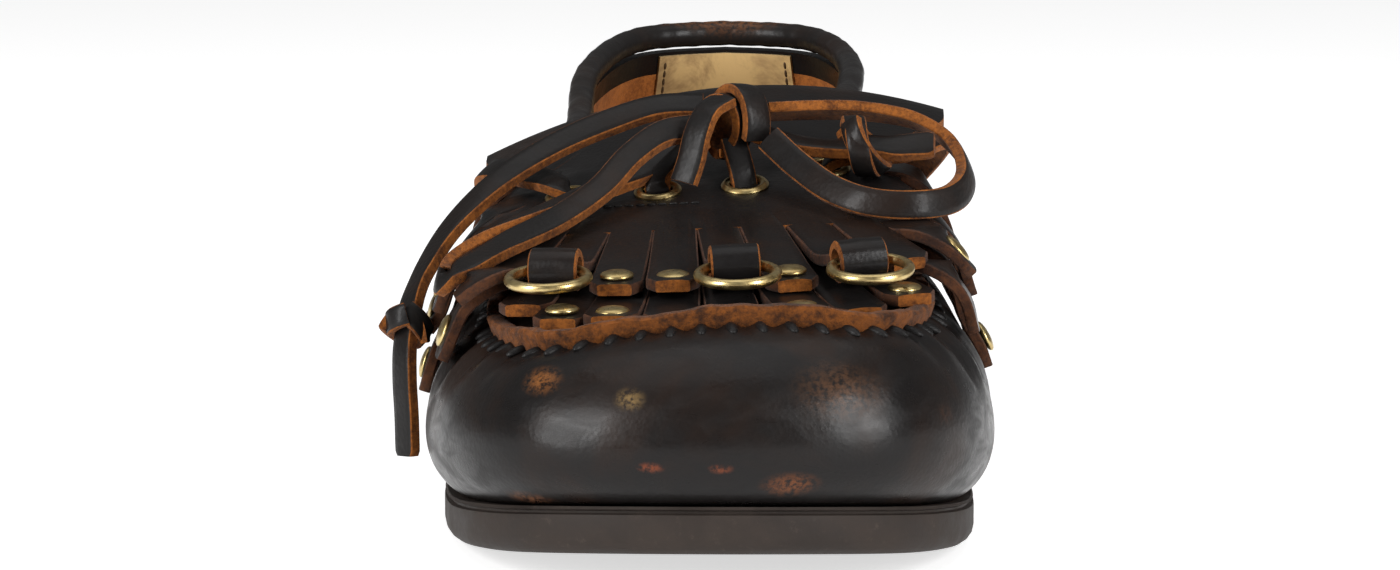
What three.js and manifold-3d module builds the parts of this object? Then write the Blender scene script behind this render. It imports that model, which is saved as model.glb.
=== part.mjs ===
// A right kiltie loafer: a moccasin wall and apron on a moulded rubber sole, with a folded
// tongue that falls forward as two tiers of riveted fringe, brass rings in strip loops,
// brass eyelets and a flat leather lace tied in a bow.
// Millimetres. +Z is up, the toe points to -Y, +X is the inner (medial) side.
// The origin is on the floor, under the middle of the heel.
import * as THREE from "three";
import { mergeVertices } from "three/addons/utils/BufferGeometryUtils.js";
import Module from "manifold-3d";

const wasm = await Module();
wasm.setup();

// Sole
const SOLE_LENGTH = 292;
const SOLE_WIDTH = 98; // across the ball
const HEEL_REST = 34; // from the back of the heel to the origin
const TOE_SPRING = 8;
const SOLE_THICK = 8.5; // at the toe and the ball
const HEEL_SEAT = 22; // floor to foot bed at the heel
const HEEL_BREAST = 64; // from the back of the heel to its front face
const ARCH_RISE = 8.5;
const SOLE_EDGE = 3; // roundness of the lower edge
const INSOLE_THICK = 3;

// Upper
const LEATHER = 2.2; // wall of the moccasin
const WALL_SET_IN = 2; // foot of the wall, inside the sole's edge
const BACK_HEIGHT = 70.5; // floor to the wall's rim behind the heel
const TOE_HEIGHT = 43.5; // floor to the apron's top at the toe seam
const INSTEP_HEIGHT = 70; // floor to the apron's line under the tongue's fold
const GAP = 0.35; // between pieces that touch
const COLLAR_ROLL = 5.6; // width and height of the stuffed collar
const APRON_THICK = 2;
const APRON_END = 120; // from the toe to the back edge of the apron
const LIP_RISE = 3; // raw edge of the apron above its top
const LIP_THICK = 3.3;

// Kiltie
const KILTIE_THICK = 2.1;
const UNDER_LIFT = 0.9; // lower tier above the apron
const TOP_LIFT = 4.3; // upper tier above the apron
const FLAP_FRONT = 73; // from the toe to the roots of the upper strips
const FLAP_FOLD = 135; // from the toe to the fold
const FLAP_HALF = 45.5; // half width of the fold
const TONGUE_HALF = 25; // half width of the ply that goes down into the shoe
const STRIP_WIDTH = 9.3;
const UNDER_STRIP_WIDTH = 9.6;

// Brass
const RING_OUTER = 16.2;
const RING_WIRE = 2;
const LOOP_BORE = 2.45; // inside radius of a strip's loop
const LOOP_WALL = 1.45;
const LOOP_WIDTH = 9;
const RIVET_RADIUS = 3;
const RIVET_RISE = 1.3;
const FLAP_EYELET = 4.6; // outer radius
const QUARTER_EYELET = 3.7;
const EYELET_BAND = 1.7; // width of the rim
const EYELET_RISE = 0.9;

// Lace
const LACE_WIDTH = 5.4;
const LACE_THICK = 2.1;

// A place on the shoe: across, from the toe and up.
const point = (x, fromToe, z) => new THREE.Vector3(x, fromToe - SOLE_LENGTH + HEEL_REST, z);
const smooth = THREE.MathUtils.smoothstep;

function range(from, to, steps) {
  return Array.from({ length: steps + 1 }, (_, i) => from + ((to - from) * i) / steps);
}

// A smooth curve through the rows of a table, read by its first column.
function curve(rows, key, column) {
  const at = rows.map((r) => r[key]);
  const value = rows.map((r) => r[column]);
  const slope = value.map((_, i) => {
    const a = Math.max(i - 1, 0);
    const b = Math.min(i + 1, value.length - 1);
    return (value[b] - value[a]) / (at[b] - at[a]);
  });
  return (x) => {
    const c = Math.min(Math.max(x, at[0]), at[at.length - 1]);
    let i = 0;
    while (i < at.length - 2 && c > at[i + 1]) i += 1;
    const h = at[i + 1] - at[i];
    const t = (c - at[i]) / h;
    const u = 1 - t;
    return (
      value[i] * (1 + 2 * t) * u * u +
      slope[i] * h * t * u * u +
      value[i + 1] * (3 - 2 * t) * t * t -
      slope[i + 1] * h * t * t * u
    );
  };
}

// Sole outline. turn goes round the sole from the back of the heel (0) along the outer side
// to the toe (8) and home along the inner side (16). side is a share of SOLE_WIDTH.
const OUTLINE = [
  { turn: -1, side: 0.255 },
  { turn: 0, side: 0 },
  { turn: 1, side: -0.255 },
  { turn: 2, side: -0.367 },
  { turn: 3, side: -0.378 },
  { turn: 4, side: -0.434 },
  { turn: 5, side: -0.51 },
  { turn: 6, side: -0.475 },
  { turn: 7, side: -0.325 },
  { turn: 8, side: 0 },
  { turn: 9, side: 0.345 },
  { turn: 10, side: 0.49 },
  { turn: 11, side: 0.485 },
  { turn: 12, side: 0.378 },
  { turn: 13, side: 0.337 },
  { turn: 14, side: 0.352 },
  { turn: 15, side: 0.255 },
  { turn: 16, side: 0 },
  { turn: 17, side: -0.255 },
];
const TURNS = 16;
const outlineSide = curve(OUTLINE, "turn", "side");
const wrap = (turn) => ((turn % TURNS) + TURNS) % TURNS;
const turnAngle = (turn) => (turn * 2 * Math.PI) / TURNS;
const turnFromToe = (turn) => (SOLE_LENGTH * (1 + Math.cos(turnAngle(turn)))) / 2;

// Plan point of the outline moved in by inset, as {x, fromToe, outX, outToe}.
function planPoint(turnAsked, inset) {
  const turn = wrap(turnAsked);
  const step = 0.02;
  const x = outlineSide(turn) * SOLE_WIDTH;
  const q = turnFromToe(turn);
  const dx = (outlineSide(turn + step) - outlineSide(turn - step)) * SOLE_WIDTH;
  const dq = turnFromToe(turn + step) - turnFromToe(turn - step);
  const size = Math.hypot(dx, dq);
  const outX = dq / size;
  const outToe = -dx / size;
  return { x: x - outX * inset, fromToe: q - outToe * inset, outX, outToe };
}

// Heights of the foot bed and of the tread, by share of the length from the toe.
// rise and dip are shares of the named heights.
const BED = [
  { back: 0, toe: 1, seat: 0 },
  { back: 0.075, toe: 0.55, seat: 0 },
  { back: 0.18, toe: 0.1, seat: 0 },
  { back: 0.3, toe: 0, seat: 0.05 },
  { back: 0.43, toe: 0, seat: 0.2 },
  { back: 0.59, toe: 0, seat: 0.58 },
  { back: 0.72, toe: 0, seat: 0.88 },
  { back: 0.86, toe: 0, seat: 1 },
  { back: 1, toe: 0, seat: 1.03 },
];
const bedToe = curve(BED, "back", "toe");
const bedSeat = curve(BED, "back", "seat");
const bedHeight = (q) => {
  const back = q / SOLE_LENGTH;
  return SOLE_THICK + TOE_SPRING * bedToe(back) + (HEEL_SEAT - SOLE_THICK) * bedSeat(back);
};

const TREAD = [
  { back: 0, toe: 1, arch: 0 },
  { back: 0.075, toe: 0.55, arch: 0 },
  { back: 0.17, toe: 0.12, arch: 0 },
  { back: 0.25, toe: 0, arch: 0 },
  { back: 0.43, toe: 0, arch: 0 },
  { back: 0.5, toe: 0, arch: 0.2 },
  { back: 0.6, toe: 0, arch: 0.7 },
  { back: 0.7, toe: 0, arch: 1 },
  { back: 0.78, toe: 0, arch: 1 },
];
const treadToe = curve(TREAD, "back", "toe");
const treadArch = curve(TREAD, "back", "arch");
const treadHeight = (q) => {
  if (SOLE_LENGTH - q <= HEEL_BREAST) return 0;
  const back = q / SOLE_LENGTH;
  return Math.max(0, TOE_SPRING * treadToe(back)) + Math.max(0, ARCH_RISE * treadArch(back));
};

// The forepart's top. ridge is the height along the middle as a share of the way from
// TOE_HEIGHT to INSTEP_HEIGHT, tilt the slope down to the outer side, and the crowns the fall
// at the apron's half width for the apron, the lower tier and the upper tier.
const FOREPART = [
  { back: 0.068, ridge: 0, tilt: 0.03, apron: 0.02, under: 0, top: 0 },
  { back: 0.154, ridge: 0.06, tilt: 0.03, apron: 0.037, under: 0.004, top: 0 },
  { back: 0.223, ridge: 0.19, tilt: 0.04, apron: 0.056, under: 0.022, top: 0 },
  { back: 0.274, ridge: 0.32, tilt: 0.05, apron: 0.077, under: 0.04, top: 0.01 },
  { back: 0.336, ridge: 0.51, tilt: 0.065, apron: 0.1, under: 0.062, top: 0.03 },
  { back: 0.394, ridge: 0.71, tilt: 0.08, apron: 0.128, under: 0.082, top: 0.055 },
  { back: 0.462, ridge: 1, tilt: 0.105, apron: 0.163, under: 0.11, top: 0.082 },
  { back: 0.52, ridge: 1.12, tilt: 0.105, apron: 0.184, under: 0.135, top: 0.096 },
];
const CROWN_HALF = SOLE_WIDTH * 0.44;
const ridgeShare = curve(FOREPART, "back", "ridge");
const tiltShare = curve(FOREPART, "back", "tilt");
const crowns = {
  apron: curve(FOREPART, "back", "apron"),
  under: curve(FOREPART, "back", "under"),
  top: curve(FOREPART, "back", "top"),
};
function forepart(layer, x, q, lift) {
  const back = q / SOLE_LENGTH;
  const ridge = TOE_HEIGHT + (INSTEP_HEIGHT - TOE_HEIGHT) * ridgeShare(back);
  const fall = SOLE_WIDTH * crowns[layer](back) * (x / CROWN_HALF) ** 2;
  return ridge + lift + tiltShare(back) * x - fall;
}

// The moccasin wall, read by turn from the heel (0) to the toe (8). The rim lies inset from
// the sole's outline, as a share of SOLE_WIDTH, and its height on the outer and the inner
// side is a share of BACK_HEIGHT.
const RIM = [
  { turn: 0, inset: 0.05, rimOut: 1, rimIn: 1 },
  { turn: 1, inset: 0.052, rimOut: 0.985, rimIn: 0.99 },
  { turn: 2, inset: 0.054, rimOut: 0.92, rimIn: 0.94 },
  { turn: 3, inset: 0.062, rimOut: 0.83, rimIn: 0.86 },
  { turn: 4, inset: 0.12, rimOut: 0.775, rimIn: 0.8 },
  { turn: 5, inset: 0.118, rimOut: 0.7, rimIn: 0.72 },
  { turn: 6, inset: 0.085, rimOut: 0.6, rimIn: 0.6 },
  { turn: 7, inset: 0.108, rimOut: 0.6, rimIn: 0.6 },
  { turn: 7.5, inset: 0.152, rimOut: 0.6, rimIn: 0.6 },
  { turn: 8, inset: 0.168, rimOut: 0.6, rimIn: 0.6 },
];
// How the wall swells between its foot and its rim, as shares of SOLE_WIDTH: out and up from
// the foot, out and down from the rim.
const SWELL = [
  { turn: 0, lowOut: 0.08, lowUp: 0.14, highOut: 0.03, highUp: 0.16 },
  { turn: 1, lowOut: 0.08, lowUp: 0.14, highOut: 0.03, highUp: 0.16 },
  { turn: 2, lowOut: 0.07, lowUp: 0.14, highOut: 0.03, highUp: 0.16 },
  { turn: 3, lowOut: 0.06, lowUp: 0.13, highOut: 0.05, highUp: 0.15 },
  { turn: 4, lowOut: 0.07, lowUp: 0.12, highOut: 0.09, highUp: 0.12 },
  { turn: 5, lowOut: 0.115, lowUp: 0.085, highOut: 0.1, highUp: 0.03 },
  { turn: 6, lowOut: 0.13, lowUp: 0.085, highOut: 0.09, highUp: 0.02 },
  { turn: 7, lowOut: 0.135, lowUp: 0.09, highOut: 0.12, highUp: 0.01 },
  { turn: 7.5, lowOut: 0.14, lowUp: 0.1, highOut: 0.13, highUp: 0.01 },
  { turn: 8, lowOut: 0.14, lowUp: 0.1, highOut: 0.14, highUp: 0.01 },
];
const columns = (rows, names) => names.map((name) => [name, curve(rows, "turn", name)]);
const wallColumn = Object.fromEntries([
  ...columns(RIM, ["inset", "rimOut", "rimIn"]),
  ...columns(SWELL, ["lowOut", "lowUp", "highOut", "highUp"]),
]);
const fromHeel = (turn) => Math.min(wrap(turn), TURNS - wrap(turn));
const isOuter = (turn) => wrap(turn) < TURNS / 2;

// Where the wall's outer face ends: the apron's seam in front, the collar's line behind.
function rimPoint(turn) {
  const t = fromHeel(turn);
  const p = planPoint(turn, wallColumn.inset(t) * SOLE_WIDTH);
  const seam = forepart("apron", p.x, p.fromToe, -APRON_THICK - GAP);
  const rim = BACK_HEIGHT * wallColumn[isOuter(turn) ? "rimOut" : "rimIn"](t);
  const share = smooth(p.fromToe, APRON_END + 1, APRON_END + 34);
  return { ...p, z: seam + (rim - seam) * share };
}

// Outer face of the wall: up runs from the sole (0) to the rim (1).
function wallPoint(turn, up) {
  const t = fromHeel(turn);
  const foot = planPoint(turn, WALL_SET_IN);
  const rim = rimPoint(turn);
  const z0 = bedHeight(foot.fromToe) + GAP;
  const reach = (name) => wallColumn[name](t) * SOLE_WIDTH;
  const out = [0, reach("lowOut")];
  const inset = wallColumn.inset(t) * SOLE_WIDTH - WALL_SET_IN;
  const n = [0, out[1], reach("highOut") - inset, -inset];
  const z = [z0, z0 + reach("lowUp"), rim.z - reach("highUp"), rim.z];
  const u = 1 - up;
  const b = [u * u * u, 3 * u * u * up, 3 * u * up * up, up * up * up];
  const along = b.reduce((sum, w, i) => sum + w * n[i], 0);
  const high = b.reduce((sum, w, i) => sum + w * z[i], 0);
  return point(foot.x + foot.outX * along, foot.fromToe + foot.outToe * along, high);
}
function wallNormal(turn, up) {
  const s = 0.02;
  const a = wallPoint(turn + s, up).sub(wallPoint(turn - s, up));
  const b = wallPoint(turn, Math.min(up + s, 1)).sub(wallPoint(turn, Math.max(up - s, 0)));
  return a.cross(b).normalize();
}

// Closed mesh through rings of points. Rings are closed outlines with as many points each.
function loft(rings, round = false) {
  const n = rings[0].length;
  const positions = [];
  rings.flat().forEach((p) => positions.push(p.x, p.y, p.z));
  const index = [];
  const last = round ? rings.length : rings.length - 1;
  for (let k = 0; k < last; k += 1) {
    const a = k * n;
    const b = ((k + 1) % rings.length) * n;
    for (let i = 0; i < n; i += 1) {
      const j = (i + 1) % n;
      index.push(a + i, b + i, b + j, a + i, b + j, a + j);
    }
  }
  if (!round) {
    const end = (rings.length - 1) * n;
    for (let i = 0; i < n / 2 - 1; i += 1) {
      const j = n - 1 - i;
      index.push(i, i + 1, j, i + 1, j - 1, j);
      index.push(end + i, end + j, end + i + 1, end + i + 1, end + j, end + j - 1);
    }
  }
  const geometry = new THREE.BufferGeometry();
  geometry.setAttribute("position", new THREE.Float32BufferAttribute(positions, 3));
  geometry.setIndex(index.filter((_, i) => !degenerate(index, i)));
  return geometry;
}
function degenerate(index, i) {
  const k = i - (i % 3);
  return index[k] === index[k + 1] || index[k + 1] === index[k + 2] || index[k] === index[k + 2];
}

// Solids, for joining and cutting.
function solid(geometry) {
  const bare = geometry.index ? geometry.clone() : geometry;
  bare.deleteAttribute("normal");
  bare.deleteAttribute("uv");
  const merged = mergeVertices(bare, 1e-4);
  const triVerts = new Uint32Array(merged.index.array);
  const vertProperties = new Float32Array(merged.attributes.position.array);
  const made = new wasm.Manifold(new wasm.Mesh({ numProp: 3, vertProperties, triVerts }));
  if (made.volume() > 0) return made;
  for (let i = 0; i < triVerts.length; i += 3) {
    [triVerts[i + 1], triVerts[i + 2]] = [triVerts[i + 2], triVerts[i + 1]];
  }
  return new wasm.Manifold(new wasm.Mesh({ numProp: 3, vertProperties, triVerts }));
}
const join = (parts) => parts.reduce((a, b) => a.add(b));
const cut = (body, tools) => tools.reduce((a, b) => a.subtract(b), body);
function geometryOf(body) {
  const m = body.getMesh();
  const positions = new Float32Array(m.numVert * 3);
  for (let i = 0; i < m.numVert; i += 1) {
    positions.set(m.vertProperties.subarray(i * m.numProp, i * m.numProp + 3), i * 3);
  }
  const geometry = new THREE.BufferGeometry();
  geometry.setAttribute("position", new THREE.BufferAttribute(positions, 3));
  geometry.setIndex(new THREE.BufferAttribute(m.triVerts, 1));
  return geometry;
}

const FINISH = {
  rubber: { color: 0x4a3a34, roughness: 0.75, metalness: 0 },
  leather: { color: 0x231d1b, roughness: 0.38, metalness: 0 },
  lace: { color: 0x2a211e, roughness: 0.5, metalness: 0 },
  footBed: { color: 0x9a8358, roughness: 0.9, metalness: 0 },
  brass: { color: 0xc9ab5a, roughness: 0.25, metalness: 1 },
};
const shoe = new THREE.Group();
function addPiece(name, geometry, finish, parent = shoe) {
  geometry.computeVertexNormals();
  const mesh = new THREE.Mesh(geometry, new THREE.MeshStandardMaterial(FINISH[finish]));
  mesh.name = name;
  parent.add(mesh);
  return mesh;
}

// Sole: one ring for each station from the toe to the heel, both sides of it at one height.
const END_TURN = 0.12; // first and last station, just inside the ends of the outline
function soleStations(steps) {
  const turns = range(8 - END_TURN, END_TURN, steps);
  const turnOf = (q) => (Math.acos((2 * q) / SOLE_LENGTH - 1) * TURNS) / (2 * Math.PI);
  const breast = SOLE_LENGTH - HEEL_BREAST;
  return [...turns, turnOf(breast - 0.5), turnOf(breast + 0.5)].sort((a, b) => b - a);
}
function soleRing(turn, inset, low, high, edge) {
  const half = (t) => {
    const p = planPoint(t, inset);
    const rim = planPoint(t, inset + edge);
    const q = p.fromToe;
    return [point(rim.x, rim.fromToe, low(q)), point(p.x, q, low(q) + edge), point(p.x, q, high(q))];
  };
  return [...half(turn), ...half(TURNS - turn).reverse()];
}
function soleGeometry(steps, inset, low, high, edge) {
  return loft(soleStations(steps).map((t) => soleRing(t, inset, low, high, edge)));
}
addPiece("outsole", geometryOf(solid(soleGeometry(34, 0, treadHeight, bedHeight, SOLE_EDGE))), "rubber");

const INSOLE_INSET = WALL_SET_IN + LEATHER + GAP + 0.6;
const insoleLow = (q) => bedHeight(q) + GAP;
const insoleHigh = (q) => bedHeight(q) + GAP + INSOLE_THICK;
const insoleEdge = 0.8;
const insoleShape = soleGeometry(20, INSOLE_INSET, insoleLow, insoleHigh, insoleEdge);
addPiece("insole", geometryOf(solid(insoleShape)), "footBed");

// Places on the shoe, as frames: origin and unit vectors across, along and out.
function frameAt(origin, along, out) {
  const normal = out.clone().normalize();
  const forward = along.clone().addScaledVector(normal, -along.dot(normal)).normalize();
  return { origin, across: forward.clone().cross(normal), forward, normal };
}
function placeOn(object, frame, rise) {
  const m = new THREE.Matrix4().makeBasis(frame.across, frame.forward, frame.normal);
  object.quaternion.setFromRotationMatrix(m);
  object.position.copy(frame.origin).addScaledVector(frame.normal, rise);
  return object;
}
function surfaceFrame(layer, x, q, lift) {
  const s = 0.5;
  const at = (dx, dq) => point(x + dx, q + dq, forepart(layer, x + dx, q + dq, lift));
  const side = at(s, 0).sub(at(-s, 0));
  const toToe = at(0, -s).sub(at(0, s));
  return frameAt(at(0, 0), toToe, side.clone().cross(toToe).negate());
}
function wallFrame(turn, up) {
  const s = 0.02;
  const along = wallPoint(turn + s, up).sub(wallPoint(turn - s, up));
  return frameAt(wallPoint(turn, up), along, wallNormal(turn, up));
}
function drill(frame, radius, reach) {
  const tool = new THREE.CylinderGeometry(radius, radius, 2 * reach, 12).rotateX(Math.PI / 2);
  const holder = placeOn(new THREE.Object3D(), frame, 0);
  holder.updateMatrix();
  return solid(tool.applyMatrix4(holder.matrix));
}

// Eyelets and the quarters' places for them.
const BARREL_WALL = 0.5;
const eyeletHole = (radius) => radius - EYELET_BAND + BARREL_WALL + GAP;
const QUARTER_EYELETS = [
  { name: "1", turn: 4.2, up: 0.8 },
  { name: "2", turn: 3.62, up: 0.87 },
  { name: "3", turn: 2.9, up: 0.88 },
];
const sides = [
  { side: "lateral", sign: -1, turn: (t) => t },
  { side: "medial", sign: 1, turn: (t) => TURNS - t },
];
const quarterFrames = sides.flatMap(({ side, turn }) =>
  QUARTER_EYELETS.map((e) => ({
    name: `eyelet_quarter_${side}_${e.name}`,
    frame: wallFrame(turn(e.turn), e.up),
  })),
);

// Upper: the wall's section carried once round the shoe.
const WALL_TURNS = 60;
const WALL_ROWS = [0, 0.1, 0.24, 0.4, 0.57, 0.75, 0.9, 1];
function wallSection(turn) {
  const outer = WALL_ROWS.map((up) => wallPoint(turn, up));
  const inward = WALL_ROWS.map((up) => wallNormal(turn, up).multiplyScalar(-LEATHER));
  const inner = outer.map((p, i) => p.clone().add(inward[i]));
  inner[0].z = outer[0].z;
  return [...outer, ...inner.reverse()];
}
const wallRings = Array.from({ length: WALL_TURNS }, (_, i) => wallSection((i * TURNS) / WALL_TURNS));
const quarterHoles = quarterFrames.map((q) => drill(q.frame, eyeletHole(QUARTER_EYELET), 2 * LEATHER));
addPiece("upper", geometryOf(cut(solid(loft(wallRings, true)), quarterHoles)), "leather");

// Collar: a stuffed roll along the rim, from one side of the throat round the heel.
const COLLAR_START = 4.15; // turn at which the roll begins on each side
const COLLAR_STEPS = 34;
function collarRing(turn, grow) {
  const s = 0.02;
  const rim = rimPoint(turn);
  const a = rimPoint(turn + s);
  const b = rimPoint(turn - s);
  const along = point(a.x, a.fromToe, a.z).sub(point(b.x, b.fromToe, b.z)).normalize();
  const inward = new THREE.Vector3(-rim.outX, -rim.outToe, 0);
  const up = along.clone().cross(inward).normalize();
  if (up.z < 0) up.negate();
  const radius = COLLAR_ROLL / 2;
  const centre = point(rim.x, rim.fromToe, rim.z)
    .addScaledVector(inward, LEATHER / 2)
    .addScaledVector(up, radius + GAP + 0.2);
  return Array.from({ length: 8 }, (_, i) => {
    const angle = ((i + 0.5) * Math.PI) / 4;
    return centre
      .clone()
      .addScaledVector(inward, Math.cos(angle) * radius * grow)
      .addScaledVector(up, Math.sin(angle) * radius * grow);
  });
}
const collarRings = range(COLLAR_START, -COLLAR_START, COLLAR_STEPS).map((turn, i) =>
  collarRing(turn, i === 0 || i === COLLAR_STEPS ? 0.5 : 1),
);
addPiece("collar", geometryOf(solid(loft(collarRings))), "leather");

// Apron: a plate from seam to seam with a raw edge that stands up all round its front.
const seamTurn = (() => {
  let turn = 4;
  while (rimPoint(turn).fromToe > APRON_END) turn += 0.01;
  return turn;
})();
const APRON_STEPS = 10;
const APRON_ACROSS = 6;
function apronRing(turn) {
  const a = rimPoint(turn);
  const b = rimPoint(TURNS - turn);
  const across = range(0.02, 0.98, APRON_ACROSS).map((share) => ({
    x: a.x + (b.x - a.x) * share,
    q: a.fromToe + (b.fromToe - a.fromToe) * share,
  }));
  const top = across.map(({ x, q }) => point(x, q, forepart("apron", x, q, 0)));
  const low = across.map(({ x, q }) => point(x, q, forepart("apron", x, q, -APRON_THICK)));
  return [...top, ...low.reverse()];
}
const apronRings = range(7.9, seamTurn, APRON_STEPS).map(apronRing);
const LIP_SEAT = 0.4; // underside of the raw edge above the underside of the plate
const LIP_LEAN = 1.2; // how far the raw edge leans out over the wall
function lipRing(turn) {
  const rim = rimPoint(turn);
  const z = forepart("apron", rim.x, rim.fromToe, 0);
  const at = (out, up) => point(rim.x + rim.outX * out, rim.fromToe + rim.outToe * out, z + up);
  return [
    at(-LIP_THICK, LIP_SEAT - APRON_THICK),
    at(0, LIP_SEAT - APRON_THICK),
    at(LIP_LEAN, LIP_RISE - 0.7),
    at(LIP_LEAN - 0.6, LIP_RISE),
    at(LIP_LEAN - LIP_THICK + 0.6, LIP_RISE),
    at(LIP_LEAN - LIP_THICK, LIP_RISE - 0.7),
  ];
}
const LIP_STEPS = 34;
const lipRings = range(seamTurn, TURNS - seamTurn, LIP_STEPS).map(lipRing);
addPiece("apron", geometryOf(join([solid(loft(apronRings)), solid(loft(lipRings))])), "leather");

// Fringe strips. root and tip are in plan, as shares of SOLE_WIDTH and of SOLE_LENGTH from the
// toe. A strip that hangs down the side ends on the wall, at a turn and up, in place of a tip.
const TOP_STRIPS = [
  { rootX: -0.325, rootBack: 0.4, turn: 4.55, up: 0.62, end: "rivet" },
  { rootX: -0.345, rootBack: 0.365, turn: 4.95, up: 0.6, end: "plain" },
  { rootX: -0.36, rootBack: 0.328, turn: 5.22, up: 0.64, end: "rivet" },
  { rootX: -0.358, rootBack: 0.29, turn: 5.5, up: 0.78, end: "rivet" },
  { rootX: -0.302, rootBack: 0.268, turn: 6.02, up: 0.9, end: "plain" },
  { rootX: -0.228, rootBack: 0.258, tipX: -0.283, tipBack: 0.152, end: "ring" },
  { rootX: -0.149, rootBack: 0.252, tipX: -0.172, tipBack: 0.135, end: "rivet" },
  { rootX: -0.067, rootBack: 0.25, tipX: -0.063, tipBack: 0.13, end: "rivet" },
  { rootX: 0.015, rootBack: 0.25, tipX: 0.05, tipBack: 0.15, end: "ring" },
  { rootX: 0.097, rootBack: 0.252, tipX: 0.163, tipBack: 0.136, end: "rivet" },
  { rootX: 0.179, rootBack: 0.257, tipX: 0.282, tipBack: 0.156, end: "ring" },
  { rootX: 0.257, rootBack: 0.266, tipX: 0.378, tipBack: 0.172, end: "plain" },
  { rootX: 0.325, rootBack: 0.28, turn: 5.46, up: 0.86, end: "rivet" },
  { rootX: 0.335, rootBack: 0.318, turn: 5.1, up: 0.7, end: "plain" },
  { rootX: 0.31, rootBack: 0.362, turn: 4.75, up: 0.62, end: "rivet" },
];
const UNDER_STRIPS = [
  { rootX: -0.325, rootBack: 0.38, turn: 4.75, up: 0.3, end: "plain" },
  { rootX: -0.34, rootBack: 0.335, turn: 5.1, up: 0.22, end: "rivet" },
  { rootX: -0.335, rootBack: 0.29, turn: 5.78, up: 0.53, end: "rivet" },
  { rootX: -0.28, rootBack: 0.262, tipX: -0.34, tipBack: 0.126, end: "plain" },
  { rootX: -0.212, rootBack: 0.248, tipX: -0.272, tipBack: 0.094, end: "rivet" },
  { rootX: -0.136, rootBack: 0.242, tipX: -0.176, tipBack: 0.084, end: "rivet" },
  { rootX: -0.058, rootBack: 0.24, tipX: -0.064, tipBack: 0.084, end: "plain" },
  { rootX: 0.02, rootBack: 0.24, tipX: 0.055, tipBack: 0.084, end: "plain" },
  { rootX: 0.098, rootBack: 0.243, tipX: 0.184, tipBack: 0.085, end: "rivet" },
  { rootX: 0.174, rootBack: 0.249, tipX: 0.29, tipBack: 0.1, end: "plain" },
  { rootX: 0.246, rootBack: 0.26, tipX: 0.385, tipBack: 0.135, end: "rivet" },
  { rootX: 0.305, rootBack: 0.275, turn: 5.7, up: 0.74, end: "plain" },
  { rootX: 0.32, rootBack: 0.31, turn: 5.3, up: 0.32, end: "rivet" },
  { rootX: 0.305, rootBack: 0.352, turn: 4.95, up: 0.3, end: "plain" },
];
const STRIP_ROOT = 5; // how far a strip's root reaches back into its sheet
const ROOT_WIDTH = 0.76; // share of a strip's width at its root
const ROOT_THIN = 0.7; // share of its thickness there, so that it lies inside the sheet
const TIP_CLIP = 3; // length of the clipped corners at a strip's end
const RIVET_BACK = 5; // rivet's middle behind the tip
const OVER_LIP = APRON_THICK + LIP_RISE + 1; // extra height of a side strip over the raw edge

function apronKnot(layer, x, q, height) {
  return { p: point(x, q, forepart(layer, x, q, height)), n: surfaceFrame(layer, x, q, height).normal };
}
function wallKnot(turn, up, height) {
  const n = wallNormal(turn, up);
  return { p: wallPoint(turn, up).addScaledVector(n, height + OVER_LIP * smooth(up, 0.72, 1)), n };
}
// The middle of a strip, from inside its sheet to its tip, as frames by distance along it.
function stripSpine(strip, layer, lift) {
  const height = lift + KILTIE_THICK / 2;
  const root = { x: strip.rootX * SOLE_WIDTH, q: strip.rootBack * SOLE_LENGTH };
  const turn = strip.rootX < 0 ? strip.turn : TURNS - strip.turn;
  const onWall = strip.turn !== undefined;
  const target = onWall
    ? wallPoint(turn, 1)
    : point(strip.tipX * SOLE_WIDTH, strip.tipBack * SOLE_LENGTH, 0);
  const tip = { x: target.x, q: target.y + SOLE_LENGTH - HEEL_REST };
  const plan = Math.hypot(tip.x - root.x, tip.q - root.q);
  const mix = (a, b, s) => a + (b - a) * s;
  const on = (s) => apronKnot(layer, mix(root.x, tip.x, s), mix(root.q, tip.q, s), height);
  const shares = onWall ? [0, 0.35, 0.7] : [0, 0.25, 0.5, 0.75, 1];
  const knots = [-STRIP_ROOT / plan, ...shares].map(on);
  if (onWall) {
    const low = [1, 0.86, 0.72, 0.58, 0.44, 0.3].filter((up) => up > strip.up + 0.06);
    knots.push(...[...low, strip.up].map((up) => wallKnot(turn, up, height)));
  }
  const line = new THREE.CatmullRomCurve3(knots.map((k) => k.p));
  const out = new THREE.CatmullRomCurve3(knots.map((k) => k.n));
  const at = (distance) => {
    const t = line.getUtoTmapping(distance / line.getLength());
    return ribbonFrame(line.getPoint(t), line.getTangent(t), out.getPoint(t));
  };
  return { length: line.getLength(), at };
}
function ribbonFrame(origin, along, out) {
  const forward = along.clone().normalize();
  const normal = out.clone().addScaledVector(forward, -out.dot(forward)).normalize();
  return { origin, across: forward.clone().cross(normal), forward, normal };
}
function ribbonRing(frame, width, thick) {
  const corner = (a, n) =>
    frame.origin
      .clone()
      .addScaledVector(frame.across, (a * width) / 2)
      .addScaledVector(frame.normal, (n * thick) / 2);
  return [corner(-1, -1), corner(1, -1), corner(1, 1), corner(-1, 1)];
}
function stripGeometry(strip, layer, lift, width) {
  const spine = stripSpine(strip, layer, lift);
  const steps = strip.turn === undefined ? 4 : 7;
  const end = spine.length - TIP_CLIP;
  const rings = Array.from({ length: steps + 1 }, (_, i) => {
    const wide = width * (ROOT_WIDTH + ((1 - ROOT_WIDTH) * i) / steps);
    return ribbonRing(spine.at((end * i) / steps), wide, KILTIE_THICK * (i ? 1 : ROOT_THIN));
  });
  rings.push(ribbonRing(spine.at(spine.length), width * 0.42, KILTIE_THICK));
  return loft(rings);
}

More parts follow.
